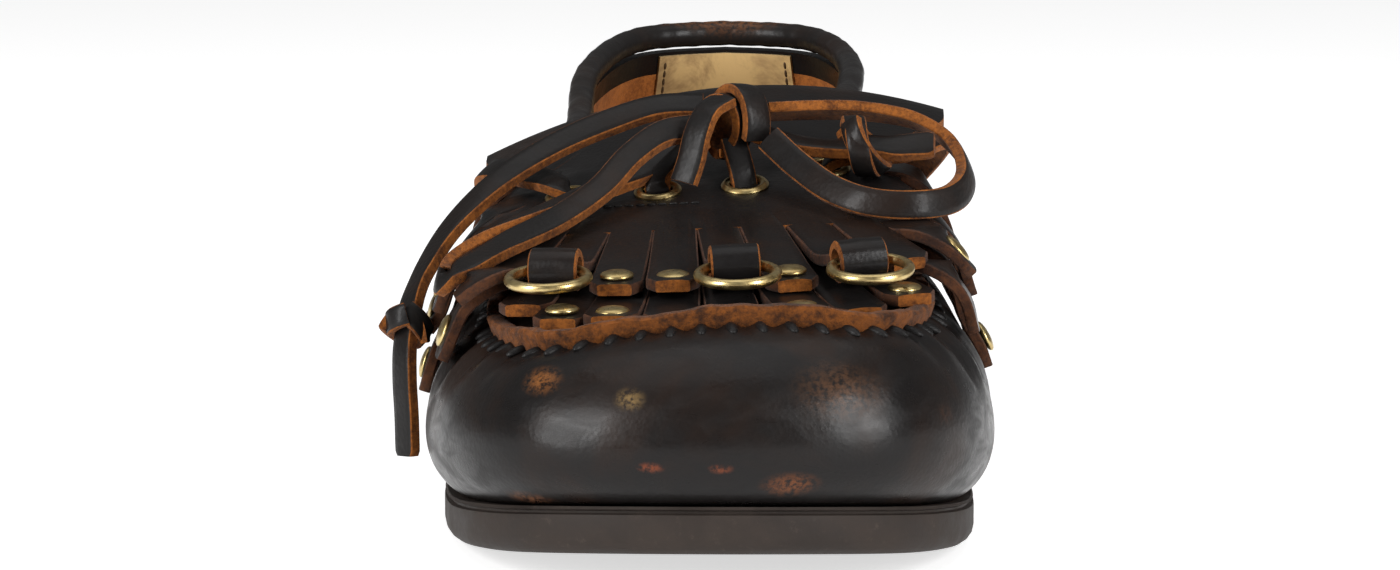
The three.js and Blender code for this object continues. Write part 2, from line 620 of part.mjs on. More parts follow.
// A sheet of the kiltie between two distances from the toe, as wide at each as halfAt says.
function kiltieSheet(layer, lift, rows, halfAt) {
  const across = 10;
  const rings = rows.map((q) => {
    const xs = range(-halfAt(q), halfAt(q), across);
    const high = xs.map((x) => point(x, q, forepart(layer, x, q, lift + KILTIE_THICK)));
    const low = xs.map((x) => point(x, q, forepart(layer, x, q, lift)));
    return [...high, ...low.reverse()];
  });
  return loft(rings);
}

// Loops and rings at the ends of three upper strips.
const LOOP_HEIGHT = TOP_LIFT + KILTIE_THICK + 0.7 + RING_WIRE / 2;
const LOOP_STEPS = 12;
function loopFrame(strip) {
  const spine = stripSpine(strip, "top", LOOP_HEIGHT - KILTIE_THICK / 2);
  return spine.at(spine.length);
}
function loopGeometry(frame) {
  const rings = Array.from({ length: LOOP_STEPS }, (_, i) => {
    const a = (i * 2 * Math.PI) / LOOP_STEPS;
    const up = frame.normal.clone().multiplyScalar(Math.sin(a));
    const ray = up.addScaledVector(frame.forward, Math.cos(a));
    const corner = (r, w) => frame.origin.clone().addScaledVector(ray, r).addScaledVector(frame.across, w);
    const outer = LOOP_BORE + LOOP_WALL;
    const half = LOOP_WIDTH / 2;
    return [corner(LOOP_BORE, -half), corner(outer, -half), corner(outer, half), corner(LOOP_BORE, half)];
  });
  return loft(rings, true);
}
const ringStrips = TOP_STRIPS.filter((s) => s.end === "ring");
const loopFrames = ringStrips.map(loopFrame);
// The strip of a ring comes up from its root and stops inside the wall of its loop.
function ringStripGeometry(strip, frame) {
  const spine = stripSpine(strip, "top", TOP_LIFT);
  const seat = frame.origin
    .clone()
    .addScaledVector(frame.forward, -(LOOP_BORE + LOOP_WALL / 2))
    .addScaledVector(frame.normal, -0.4);
  const rings = [0.8, 0.86, 0.94, 1].map((wide, i) =>
    ribbonRing(spine.at(spine.length * i * 0.22), wide * LOOP_WIDTH, KILTIE_THICK * (i ? 1 : ROOT_THIN)),
  );
  rings.push(ribbonRing({ ...frame, origin: seat }, LOOP_WIDTH, KILTIE_THICK));
  return loft(rings);
}

// Flap eyelets, in plan as shares of SOLE_WIDTH and of SOLE_LENGTH from the toe.
const FLAP_EYELETS = [
  { x: -0.28, back: 0.322 },
  { x: -0.105, back: 0.314 },
  { x: 0.065, back: 0.315 },
  { x: 0.225, back: 0.34 },
];
const flapFrames = FLAP_EYELETS.map((e) =>
  surfaceFrame("top", e.x * SOLE_WIDTH, e.back * SOLE_LENGTH, TOP_LIFT + KILTIE_THICK),
);

// Upper tier: flap, fold, tongue ply, strips and loops.
const FOLD_RADIUS = (TOP_LIFT + APRON_THICK) / 2; // of the middle of the folded leather
const foldHalf = (q) => FLAP_HALF - (FLAP_HALF - 0.37 * SOLE_WIDTH) * smooth(FLAP_FOLD - q, 4, 22);
function foldRing(x, from, to, steps) {
  const centreLift = TOP_LIFT + KILTIE_THICK / 2 - FOLD_RADIUS;
  const place = (angle, radius) => {
    const q = FLAP_FOLD + Math.cos(angle) * radius;
    const lift = centreLift + Math.sin(angle) * radius;
    return point(x, q, forepart("top", x, FLAP_FOLD, lift));
  };
  const angles = range(from, to, steps);
  const outer = angles.map((a) => place(a, FOLD_RADIUS + KILTIE_THICK / 2));
  const inner = angles.map((a) => place(a, FOLD_RADIUS - KILTIE_THICK / 2));
  return [...outer, ...inner.reverse()];
}
function foldGeometry(half, from, to, steps, across) {
  return loft(range(-half, half, across).map((x) => foldRing(x, from, to, steps)));
}
const flapRows = range(FLAP_FRONT - 1, FLAP_FOLD + 0.2, 6);
const tongueRows = range(APRON_END + GAP + 0.5, FLAP_FOLD + 0.2, 3);
const tongueLift = TOP_LIFT - 2 * FOLD_RADIUS;
const flatStrips = TOP_STRIPS.filter((s) => s.end !== "ring");
const topParts = [
  solid(kiltieSheet("top", TOP_LIFT, flapRows, foldHalf)),
  solid(foldGeometry(FLAP_HALF, Math.PI / 2 + 0.05, 0, 3, 10)),
  solid(foldGeometry(TONGUE_HALF, 0.05, -Math.PI / 2 - 0.05, 3, 6)),
  solid(kiltieSheet("top", tongueLift, tongueRows, () => TONGUE_HALF)),
  ...flatStrips.map((s) => solid(stripGeometry(s, "top", TOP_LIFT, STRIP_WIDTH))),
  ...ringStrips.map((s, i) => solid(ringStripGeometry(s, loopFrames[i]))),
  ...loopFrames.map((f) => solid(loopGeometry(f))),
];
const flapHoles = flapFrames.map((f) => drill(f, eyeletHole(FLAP_EYELET), 2.4));
addPiece("kiltie_top", geometryOf(cut(join(topParts), flapHoles)), "leather");

// Lower tier: a sheet under the flap and its strips.
const UNDER_FRONT = 0.24 * SOLE_LENGTH;
const UNDER_BACK = 0.405 * SOLE_LENGTH;
const UNDER_HALF = 0.31 * SOLE_WIDTH;
const underParts = [
  solid(kiltieSheet("under", UNDER_LIFT, range(UNDER_FRONT, UNDER_BACK, 4), () => UNDER_HALF)),
  ...UNDER_STRIPS.map((s) => solid(stripGeometry(s, "under", UNDER_LIFT, UNDER_STRIP_WIDTH))),
];
const underHoles = flapFrames.map((f) => drill(f, FLAP_EYELET, 6));
addPiece("kiltie_under", geometryOf(cut(join(underParts), underHoles)), "leather");

// Rings: each lies forward from its loop and swings about the loop's middle.
const RING_MIDDLE = (RING_OUTER - RING_WIRE) / 2;
const RING_SAG = RING_MIDDLE - Math.sqrt(RING_MIDDLE ** 2 - (LOOP_WIDTH / 2) ** 2);
loopFrames.forEach((frame, i) => {
  const hinge = placeOn(new THREE.Group(), frame, 0);
  const shape = new THREE.TorusGeometry(RING_MIDDLE, RING_WIRE / 2, 6, 18);
  const ring = addPiece(`ring_${i + 1}`, shape, "brass", hinge);
  ring.position.set(0, RING_MIDDLE - RING_SAG / 2, 0);
  shoe.add(hinge);
});

// Rivets: domed caps on the strips.
const RIVET_SEGMENTS = 8;
function rivetGeometry() {
  const profile = [
    [0, 0],
    [RIVET_RADIUS * 0.92, 0],
    [RIVET_RADIUS, RIVET_RISE * 0.4],
    [RIVET_RADIUS * 0.65, RIVET_RISE * 0.9],
    [0, RIVET_RISE],
  ].map(([x, y]) => new THREE.Vector2(x, y));
  return new THREE.LatheGeometry(profile, RIVET_SEGMENTS).rotateX(Math.PI / 2);
}
function addRivets(strips, layer, lift, prefix) {
  strips
    .filter((s) => s.end === "rivet")
    .forEach((strip, i) => {
      const spine = stripSpine(strip, layer, lift);
      const frame = spine.at(spine.length - RIVET_BACK);
      const rivet = addPiece(`${prefix}_${i + 1}`, rivetGeometry(), "brass");
      placeOn(rivet, frame, KILTIE_THICK / 2 + GAP + 0.2);
    });
}
addRivets(TOP_STRIPS, "top", TOP_LIFT, "rivet_top");
addRivets(UNDER_STRIPS, "under", UNDER_LIFT, "rivet_under");

// Eyelets: a rolled rim with a short barrel in its hole.
const EYELET_SEGMENTS = 10;
function eyeletGeometry(radius) {
  const bore = radius - EYELET_BAND;
  const profile = [
    [bore, -1.4],
    [bore + BARREL_WALL, -1.4],
    [bore + BARREL_WALL, GAP],
    [radius, GAP],
    [radius - 0.3, EYELET_RISE],
    [bore, EYELET_RISE],
    [bore, -1.4],
  ].map(([x, y]) => new THREE.Vector2(x, y));
  return new THREE.LatheGeometry(profile, EYELET_SEGMENTS).rotateX(Math.PI / 2);
}
flapFrames.forEach((frame, i) => {
  placeOn(addPiece(`eyelet_flap_${i + 1}`, eyeletGeometry(FLAP_EYELET), "brass"), frame, 0);
});
quarterFrames.forEach(({ name, frame }) => {
  placeOn(addPiece(name, eyeletGeometry(QUARTER_EYELET), "brass"), frame, 0);
});

// Lace. Its bars are flat strands that lie clear of what they cross, each from one eyelet to
// the next. A strand's section is a flat eight-sided one, turned to face along its normals.
function laceRing(frame, width, thick) {
  const w = width / 2;
  const t = thick / 2;
  const section = [
    [w, -t / 2],
    [w, t / 2],
    [w - t, t],
    [t - w, t],
    [-w, t / 2],
    [-w, -t / 2],
    [t - w, -t],
    [w - t, -t],
  ];
  return section.map(([a, n]) =>
    frame.origin.clone().addScaledVector(frame.across, a).addScaledVector(frame.normal, n),
  );
}
function laceGeometry(knots, steps, size = () => 1) {
  const line = new THREE.CatmullRomCurve3(knots.map((k) => k.p));
  const out = new THREE.CatmullRomCurve3(knots.map((k) => k.n));
  const rings = Array.from({ length: steps + 1 }, (_, i) => {
    const t = line.getUtoTmapping(i / steps);
    const frame = ribbonFrame(line.getPoint(t), line.getTangent(t), out.getPoint(t));
    return laceRing(frame, LACE_WIDTH * size(i / steps), LACE_THICK * size(i / steps));
  });
  return geometryOf(solid(loft(rings)));
}
const LACE_CLEAR = 0.4; // between a strand and what it lies on
const strandHeight = EYELET_RISE + LACE_THICK / 2 + LACE_CLEAR;

// From a flap eyelet over the side of the flap and down to the first quarter eyelet.
const SIDE_STRANDS = [
  { name: "lace_side_lateral", eyelet: 0, sign: -1, steps: 12 },
  { name: "lace_side_medial", eyelet: 3, sign: 1, steps: 12 },
];
const SIDE_OVER = [
  { x: 0.36, back: 0.345, lift: 5.2 },
  { x: 0.45, back: 0.385, lift: 5 },
];
SIDE_STRANDS.forEach(({ name, eyelet, sign, steps }) => {
  const start = flapFrames[eyelet];
  const wallTurn = (t) => (sign < 0 ? t : TURNS - t);
  const first = QUARTER_EYELETS[0];
  const end = wallFrame(wallTurn(first.turn), first.up);
  const raise = (frame, height) => frame.origin.clone().addScaledVector(frame.normal, height);
  const over = SIDE_OVER.map((o) => {
    const x = sign * o.x * SOLE_WIDTH;
    const frame = surfaceFrame("top", x, o.back * SOLE_LENGTH, TOP_LIFT + o.lift);
    return { p: frame.origin, n: frame.normal.clone().add(new THREE.Vector3(sign * 0.5, 0, 0)) };
  });
  const knots = [
    { p: raise(start, strandHeight), n: start.normal },
    ...over,
    { p: raise(end, strandHeight + 1.5), n: end.normal },
  ];
  addPiece(name, laceGeometry(knots, steps), "lace");
});

// Along the outside of each quarter, from its second eyelet to its third.
sides.forEach(({ side, turn }) => {
  const [, from, to] = QUARTER_EYELETS;
  const ups = range(from.up, to.up, 4);
  const knots = range(from.turn, to.turn, 4).map((t, i) => {
    const frame = wallFrame(turn(t), ups[i]);
    return { p: frame.origin.clone().addScaledVector(frame.normal, strandHeight), n: frame.normal };
  });
  addPiece(`lace_collar_${side}`, laceGeometry(knots, 10), "lace");
});

// The bow: free lace. Each row is a place on its route and the way its face looks there.
const BOW_CORDS = {
  bow_loop_lateral: [
    [-3.5, -162.5, 72.6, -0.2, -0.9, 0.5],
    [-9, -166, 72.2, -0.2, -0.85, 0.5],
    [-15, -172, 68.6, -0.2, -0.8, 0.6],
    [-20.5, -179, 63.2, -0.2, -0.75, 0.65],
    [-28.5, -188, 58.2, -0.2, -0.75, 0.65],
    [-37.5, -196.5, 55.4, -0.3, -0.8, 0.6],
    [-45, -201.5, 53.6, -0.6, -0.7, 0.4],
    [-49.8, -200, 53.4, -1, -0.1, 0.2],
    [-49.8, -195.2, 54.4, -0.8, 0.7, 0.1],
    [-45, -191.8, 56, -0.3, 0.9, -0.2],
    [-35, -184, 60.2, -0.2, 0.85, -0.5],
    [-25.5, -173, 64.2, -0.2, 0.85, -0.5],
    [-16.5, -163, 67.6, -0.2, 0.85, -0.5],
    [-8, -157.2, 71.4, -0.2, 0.85, -0.5],
    [-3.8, -155.6, 72.8, -0.1, 0.9, -0.4],
  ],
  bow_loop_medial: [
    [10.6, -156.4, 75.2, 0.1, 0.5, 0.9],
    [18.5, -155, 76, 0.1, 0.5, 0.9],
    [29, -154.6, 76, 0.2, 0.5, 0.9],
    [39.5, -156, 74.4, 0.5, 0.3, 0.8],
    [46, -161.5, 70.6, 1, 0, 0.4],
    [48, -168, 65.4, 1, -0.3, -0.2],
    [45, -174.5, 61.6, 0.6, -0.6, -0.5],
    [37.5, -178.6, 62.4, 0.1, -0.7, -0.6],
    [29.5, -178, 63.6, -0.1, -0.75, -0.6],
    [23, -175, 65, -0.2, -0.75, -0.6],
    [16.5, -169.5, 68.4, -0.2, -0.75, -0.6],
    [11.2, -164.6, 71.6, -0.2, -0.75, -0.6],
  ],
  lace_end_lateral: [
    [-1.9, -155, 77.4, -0.1, -0.4, 0.9],
    [-10.5, -153.6, 77.9, -0.1, -0.4, 0.9],
    [-25, -154.5, 73.6, -0.2, -0.4, 0.9],
    [-37.5, -158.5, 67.2, -0.5, -0.4, 0.8],
    [-47, -165, 59.8, -0.7, -0.4, 0.6],
    [-53.6, -172, 51.8, -0.8, -0.4, 0.4],
    [-56.6, -178, 45.8, -0.85, -0.45, 0.2],
    [-57.6, -183, 41.8, -0.8, -0.55, 0.1],
  ],
  lace_tip_lateral: [
    [-58.4, -187.4, 33.6, -0.75, -0.65, 0],
    [-58.2, -188.6, 28, -0.75, -0.65, 0],
    [-57.6, -189.6, 21, -0.75, -0.65, 0],
    [-57.2, -190.2, 13.6, -0.75, -0.65, 0],
  ],
  lace_end_medial: [
    [9.7, -157.6, 71.6, 0.1, -0.3, 1],
    [16.5, -156.8, 71, 0.1, -0.3, 1],
    [23.4, -157, 71.4, 0, -0.3, 1],
  ],
  lace_tip_medial: [
    [33, -158, 71.4, 0.1, -0.4, 0.9],
    [36.6, -159.4, 70.8, 0.1, -0.5, 0.8],
    [40, -161, 69.6, 0.2, -0.6, 0.7],
  ],
};
const CORD_STEP = 9;
for (const [name, rows] of Object.entries(BOW_CORDS)) {
  const knots = rows.map(([x, y, z, a, b, c]) => ({
    p: new THREE.Vector3(x, y, z),
    n: new THREE.Vector3(a, b, c),
  }));
  const length = new THREE.CatmullRomCurve3(knots.map((k) => k.p)).getLength();
  addPiece(name, laceGeometry(knots, Math.max(3, Math.round(length / CORD_STEP))), "lace");
}

// Knots: the bow's wrap with its fall to the flap, and a small knot near each end.
function lump(centre, [rx, ry, rz]) {
  return new THREE.SphereGeometry(1, 10, 7).scale(rx, ry, rz).translate(...centre);
}
const bowKnot = join([
  solid(lump([3.6, -159, 73.8], [6, 5.4, 6])),
  solid(lump([0.4, -166, 68.4], [3.2, 5, 5])),
]);
addPiece("bow_knot", geometryOf(bowKnot), "lace");
addPiece("lace_knot_lateral", geometryOf(solid(lump([-58, -185.4, 37.6], [3.2, 4, 3.6]))), "lace");
addPiece("lace_knot_medial", geometryOf(solid(lump([28.2, -157.3, 71.8], [4.2, 3.3, 2.9]))), "lace");

export default shoe;
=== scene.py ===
# %% [markdown]
# # A fringed moccasin in black waxed leather
# This lesson dresses a right shoe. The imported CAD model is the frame: it fixes every size and
# place, and the pieces made here stand in for its plain solids. All sizes below are in
# millimetres, and `MM` turns them into Blender's metres.

import math

import bmesh
import bpy
import numpy as np
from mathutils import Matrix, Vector


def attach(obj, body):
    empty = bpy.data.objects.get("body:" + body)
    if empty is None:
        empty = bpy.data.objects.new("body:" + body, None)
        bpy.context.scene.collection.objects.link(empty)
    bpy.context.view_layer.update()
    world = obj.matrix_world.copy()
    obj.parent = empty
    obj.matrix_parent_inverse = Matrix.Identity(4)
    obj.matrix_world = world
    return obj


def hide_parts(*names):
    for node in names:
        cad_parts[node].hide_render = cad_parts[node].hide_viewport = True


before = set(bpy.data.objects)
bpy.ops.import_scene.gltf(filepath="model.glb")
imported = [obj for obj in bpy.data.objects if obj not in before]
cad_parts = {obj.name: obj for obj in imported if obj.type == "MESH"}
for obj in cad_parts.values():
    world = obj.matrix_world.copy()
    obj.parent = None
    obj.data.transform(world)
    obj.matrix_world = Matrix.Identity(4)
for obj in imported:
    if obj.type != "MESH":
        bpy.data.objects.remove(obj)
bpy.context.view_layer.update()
MM = 0.001

# %% [markdown]
# ## Camera
# The photograph looks at the toe from a little above, through a long lens. Such a lens keeps
# the heel almost as large as the toe, so the fringe and the collar stay readable.

# %% Camera
CAMERA_PLACE = (15.4, -1141.3, 179.7)
CAMERA_AIM = (-2.5, -151, 40.7)
CAMERA_LENS = 132

camera = bpy.data.objects.new("camera", bpy.data.cameras.new("camera"))
bpy.context.scene.collection.objects.link(camera)
camera.data.lens = CAMERA_LENS
camera.location = Vector(CAMERA_PLACE) * MM
camera.rotation_mode = "QUATERNION"
look = (Vector(CAMERA_AIM) - Vector(CAMERA_PLACE)).normalized()
camera.rotation_quaternion = look.to_track_quat("-Z", "Y")
camera.data.clip_start = 0.05
bpy.context.scene.camera = camera
print("camera is", round((Vector(CAMERA_PLACE) - Vector(CAMERA_AIM)).length), "mm from its aim")

# %% [markdown]
# ## Named sizes
# The same driving dimensions as the CAD part. Everything is worked out from them.

# %% Named sizes
SOLE_LENGTH = 292
SOLE_WIDTH = 98
HEEL_REST = 34
TOE_SPRING = 8
SOLE_THICK = 8.5
HEEL_SEAT = 22
HEEL_BREAST = 64
ARCH_RISE = 8.5
SOLE_EDGE = 3
INSOLE_THICK = 3
LEATHER = 2.2
WALL_SET_IN = 2
BACK_HEIGHT = 70.5
TOE_HEIGHT = 43.5
INSTEP_HEIGHT = 70
GAP = 0.35
COLLAR_ROLL = 5.6
APRON_THICK = 2
APRON_END = 120
LIP_RISE = 3
LIP_THICK = 3.3
KILTIE_THICK = 2.1
UNDER_LIFT = 0.9
TOP_LIFT = 4.3
FLAP_FRONT = 73
FLAP_FOLD = 135
FLAP_HALF = 45.5
TONGUE_HALF = 25
STRIP_WIDTH = 9.3
UNDER_STRIP_WIDTH = 9.6
RING_OUTER = 16.2
RING_WIRE = 2
LOOP_BORE = 2.45
LOOP_WALL = 1.45
LOOP_WIDTH = 9
RIVET_RADIUS = 3
RIVET_RISE = 1.3
FLAP_EYELET = 4.6
QUARTER_EYELET = 3.7
EYELET_BAND = 1.7
EYELET_RISE = 0.9
LACE_WIDTH = 5.4
LACE_THICK = 2.1
TURNS = 16
print("sole", SOLE_LENGTH, "by", SOLE_WIDTH, "mm")

# %% [markdown]
# ## Curves from short tables
# A shoe is all curves, but each one needs only a few heights or widths. `curve` draws a smooth
# line through two columns of a table, and works on whole arrays of places at once.

# %% Curves from tables
def curve(at, value):
    at, value = np.array(at, float), np.array(value, float)
    before, after = np.r_[0, np.arange(len(at) - 1)], np.r_[np.arange(1, len(at)), len(at) - 1]
    slope = (value[after] - value[before]) / (at[after] - at[before])

    def read(x):
        c = np.clip(x, at[0], at[-1])
        i = np.clip(np.searchsorted(at, c) - 1, 0, len(at) - 2)
        h = at[i + 1] - at[i]
        t = (c - at[i]) / h
        u = 1 - t
        rise = value[i] * (1 + 2 * t) * u * u + value[i + 1] * (3 - 2 * t) * t * t
        return rise + h * t * u * (slope[i] * u - slope[i + 1] * t)

    return read


def smoothstep(x, low, high):
    t = np.clip((np.asarray(x, float) - low) / (high - low), 0, 1)
    return t * t * (3 - 2 * t)


def point(x, from_toe, z):
    x, from_toe, z = np.broadcast_arrays(x, from_toe, z)
    return np.stack([x, from_toe - SOLE_LENGTH + HEEL_REST, z], -1).astype(float)


def unit(v):
    return v / np.linalg.norm(v, axis=-1, keepdims=True)


# %% [markdown]
# ## The bow and the lace
# A cord is settled before its looks. The lace is a flat leather thong, 5.4 mm wide, with a black
# face and orange-brown edges and back. Its route is given as rows: each row is a place and the
# way the face looks there. `smooth_line` runs a curve through the rows.

# %% A smooth line through given places
def smooth_line(knots, count, start=0.0, end=1.0):
    """Evenly spaced places on a curve through knots, and the curve's length."""
    k = np.array(knots, float)
    k = np.vstack([2 * k[0] - k[1], k, 2 * k[-1] - k[-2]])
    gap = np.linalg.norm(np.diff(k[:, :3], axis=0), axis=1) ** 0.5
    t = np.linspace(0, 1, 24, endpoint=False)[:, None]
    dense = []
    for i in range(1, len(k) - 2):
        a, b, c, d = k[i - 1 : i + 3]
        d0, d1, d2 = gap[i - 1 : i + 2]
        leave = d1 * ((b - a) / d0 - (c - a) / (d0 + d1) + (c - b) / d1)
        reach = d1 * ((c - b) / d1 - (d - b) / (d1 + d2) + (d - c) / d2)
        u = 1 - t
        dense.append((1 + 2 * t) * u * u * b + t * u * u * leave)
        dense[-1] += t * t * (3 - 2 * t) * c - t * t * u * reach
    dense = np.vstack([*dense, k[-2]])
    at = np.r_[0, np.cumsum(np.linalg.norm(np.diff(dense[:, :3], axis=0), axis=1))]
    want = np.linspace(start, end, count) * at[-1]
    return np.column_stack([np.interp(want, at, column) for column in dense.T]), at[-1]


def frames_of(line):
    """Origin, across, forward and normal at each place of a line of places and normals."""
    origin = line[:, :3]
    forward = unit(np.gradient(origin, axis=0))
    out = line[:, 3:6]
    normal = unit(out - forward * np.sum(out * forward, axis=1, keepdims=True))
    return origin, np.cross(forward, normal), forward, normal


# %% [markdown]
# ## From rings to a piece
# Nearly every part of a shoe is a section carried along a line. `sweep` joins rings of points
# into faces, and `make_piece` turns the result into one Blender object that rides on the CAD
# body, takes its materials and hides the solids it stands for.

# %% From rings of points to a piece
def sweep(rings, mats=0, around=True, along=False, caps=None):
    """Faces between rings, an array of stations, points and xyz. mats is one per ring edge."""
    rings = np.asarray(rings, float)
    stations, n = rings.shape[:2]
    mats = np.broadcast_to(mats, n)
    faces, finish = [], []
    for k in range(stations if along else stations - 1):
        a, b = k * n, (k + 1) % stations * n
        for i in range(n if around else n - 1):
            j = (i + 1) % n
            faces.append((a + i, b + i, b + j, a + j))
            finish.append(int(mats[i]))
    if caps is not None:
        end = (stations - 1) * n
        faces += [tuple(range(n)), tuple(range(end + n - 1, end - 1, -1))]
        finish += [caps, caps]
    return rings.reshape(-1, 3), faces, finish


def make_piece(name, shapes, materials, nodes=(), body="shoe", sharp=42):
    points, faces, finish, start = [], [], [], 0
    for p, f, m in shapes:
        points.append(p)
        faces += [tuple(start + i for i in face) for face in f]
        finish += m
        start += len(p)
    mesh = bpy.data.meshes.new(name)
    mesh.from_pydata((np.vstack(points) * MM).tolist(), [], faces)
    mesh.polygons.foreach_set("material_index", finish)
    for material in materials:
        mesh.materials.append(material)
    work = bmesh.new()
    work.from_mesh(mesh)
    bmesh.ops.remove_doubles(work, verts=work.verts, dist=1e-6)
    bmesh.ops.recalc_face_normals(work, faces=work.faces)
    work.to_mesh(mesh)
    work.free()
    mesh.shade_smooth()
    mesh.set_sharp_from_angle(angle=math.radians(sharp))
    piece = bpy.data.objects.new(name, mesh)
    bpy.context.scene.collection.objects.link(piece)
    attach(piece, body)
    if nodes:
        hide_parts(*nodes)
    print(name, len(mesh.polygons), "faces")
    return piece


def cad_nodes(start):
    return sorted(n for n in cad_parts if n.startswith(start))

# %% [markdown]
# ## Finishes
# Each material is built from a few blocks: object coordinates, noise, a colour ramp, a spot that
# fades out round a place, and bump. The blocks are short functions, so a finish reads as a
# recipe. Colours are linear values.

# %% Blocks for the finishes
class Recipe:
    """A Principled material and short ways of adding nodes to it."""

    def __init__(self, name, **settings):
        self.material = bpy.data.materials.new(name)
        self.material.use_nodes = True
        self.tree = self.material.node_tree
        self.shader = self.tree.nodes["Principled BSDF"]
        for key, value in settings.items():
            self.shader.inputs[key.replace("_", " ")].default_value = value
        self.place = self.add("ShaderNodeTexCoord").outputs["Object"]

    def add(self, kind, inputs=None, **settings):
        made = self.tree.nodes.new(kind)
        for key, value in settings.items():
            setattr(made, key, value)
        for key, value in (inputs or {}).items():
            if isinstance(value, bpy.types.NodeSocket):
                self.tree.links.new(value, made.inputs[key])
            else:
                made.inputs[key].default_value = value
        return made

    def noise(self, size, detail=3, rough=0.55, stretch=(1, 1, 1), warp=0.0):
        """Noise whose patches are about size millimetres."""
        scaled = self.add("ShaderNodeMapping", {"Vector": self.place, "Scale": stretch})
        inputs = {"Vector": scaled.outputs[0], "Scale": 1 / (size * MM), "Detail": detail}
        inputs.update({"Roughness": rough, "Distortion": warp})
        return self.add("ShaderNodeTexNoise", inputs).outputs["Fac"]

    def cells(self, size):
        """Distance to the middle of the nearest cell, for cells of about size millimetres."""
        inputs = {"Vector": self.place, "Scale": 1 / (size * MM)}
        return self.add("ShaderNodeTexVoronoi", inputs).outputs["Distance"]

    def math(self, operation, a, b):
        return self.add("ShaderNodeMath", {0: a, 1: b}, operation=operation).outputs[0]

    def band(self, value, low, high, start=0.0, end=1.0):
        """value between low and high, stretched to start and end."""
        inputs = {"Value": value, "From Min": low, "From Max": high, "To Min": start, "To Max": end}
        return self.add("ShaderNodeMapRange", inputs, interpolation_type="SMOOTHSTEP").outputs[0]

    def spot(self, centre, radii, soft=0.5):
        """1 at a place in millimetres, fading to 0 at its radii."""
        inputs = {0: self.place, 1: Vector(centre) * MM}
        away = self.add("ShaderNodeVectorMath", inputs, operation="SUBTRACT").outputs[0]
        inputs = {0: away, 1: [1 / (r * MM) for r in radii]}
        scaled = self.add("ShaderNodeVectorMath", inputs, operation="MULTIPLY").outputs[0]
        length = self.add("ShaderNodeVectorMath", {0: scaled}, operation="LENGTH").outputs["Value"]
        return self.band(length, soft, 1.0, 1.0, 0.0)

    def mix(self, share, a, b):
        made = self.add("ShaderNodeMix", data_type="RGBA")
        for index, value in ((0, share), (6, a), (7, b)):
            if isinstance(value, bpy.types.NodeSocket):
                self.tree.links.new(value, made.inputs[index])
            else:
                made.inputs[index].default_value = value if index == 0 else (*value, 1)
        return made.outputs[2]

    def bump(self, height, depth, strength=1.0):
        """Bump of about depth millimetres, added on top of any before it."""
        inputs = {"Height": height, "Distance": depth * MM, "Strength": strength}
        made = self.add("ShaderNodeBump", inputs)
        last = self.shader.inputs["Normal"].links
        if last:
            self.tree.links.new(last[0].from_socket, made.inputs["Normal"])
        self.tree.links.new(made.outputs[0], self.shader.inputs["Normal"])

    def colour(self, value):
        self.tree.links.new(value, self.shader.inputs["Base Color"])

    def roughness(self, value):
        self.tree.links.new(value, self.shader.inputs["Roughness"])


# %% [markdown]
# ### Waxed black leather
# Pull-up leather is dyed nearly black and filled with wax. Where it is bent or rubbed, the wax
# moves and the warm brown below comes up. The grain is fine, and faint smudges break the gloss.

# %% Waxed black leather
BLACK = (0.0076, 0.0066, 0.0064)
WARM = (0.02, 0.0098, 0.0058)


def waxed_leather(name, spots=(), gloss=0.36, grain=0.5, dark=BLACK):
    """spots are rows of place, radii, colour and strength: rubs, and painted highlights."""
    r = Recipe(name, Coat_Weight=0.05, Coat_Roughness=0.16, Specular_IOR_Level=0.14)
    patches = r.noise(26, 4, 0.6, warp=0.4)
    colour = r.mix(r.band(patches, 0.45, 0.75, 0.0, 0.55), dark, WARM)
    fine = r.noise(1.1, 4, 0.7)
    # each spot mixes in its colour: real rubs, and on the toe one painted highlight
    for centre, radii, tint, strength in spots:
        rub_and_highlight = r.math("MULTIPLY", r.spot(centre, radii, 0.05), r.band(fine, 0.36, 0.62))
        colour = r.mix(r.math("MULTIPLY", rub_and_highlight, strength), colour, tint)
    r.colour(colour)
    smudge = r.noise(9, 3, 0.6, stretch=(1, 1, 2.2), warp=0.6)
    r.roughness(r.band(smudge, 0.3, 0.75, gloss - 0.07, gloss + 0.13))
    r.bump(r.cells(0.85), 0.05, grain)
    r.bump(r.noise(3.2, 3, 0.6), 0.12, grain)
    return r.material


# %% [markdown]
# ### Raw edges and suede
# The cut edges and the flesh side were never dyed: orange-brown, dull and fibrous. Sheen gives
# the nap its soft light edge.

# %% Raw edges and suede
RAW_LIGHT = (0.25, 0.08, 0.014)
RAW_DEEP = (0.065, 0.02, 0.005)


def raw_leather(name, light=RAW_LIGHT, deep=RAW_DEEP, nap=0.28, size=0.9):
    r = Recipe(name, Sheen_Weight=0.06, Sheen_Roughness=0.5, Specular_IOR_Level=0.12)
    patches = r.noise(5.5, 4, 0.65)
    fibre = r.noise(size, 5, 0.75)
    tone = r.math("ADD", r.math("MULTIPLY", patches, 0.45), r.math("MULTIPLY", fibre, 0.55))
    r.colour(r.mix(r.band(tone, 0.36, 0.62), deep, light))
    r.roughness(r.band(fibre, 0.3, 0.7, 0.75, 0.95))
    r.bump(fibre, nap, 0.9)
    return r.material


# %% [markdown]
# ### Brass
# Polished brass takes its look from what it mirrors. Fine hairlines, a slightly rough patch here
# and there and a darker tone in places keep it from looking like a mirror.

# %% Brass
def brass(name, tone=(0.6, 0.47, 0.22)):
    r = Recipe(name, Metallic=1.0)
    patches = r.noise(3.5, 3, 0.6)
    r.colour(r.mix(r.band(patches, 0.35, 0.75), tone, (0.4, 0.28, 0.11)))
    r.roughness(r.band(r.noise(1.6, 4, 0.7), 0.3, 0.75, 0.26, 0.42))
    r.bump(r.noise(0.5, 3, 0.6, stretch=(1, 1, 4)), 0.02, 0.35)
    return r.material


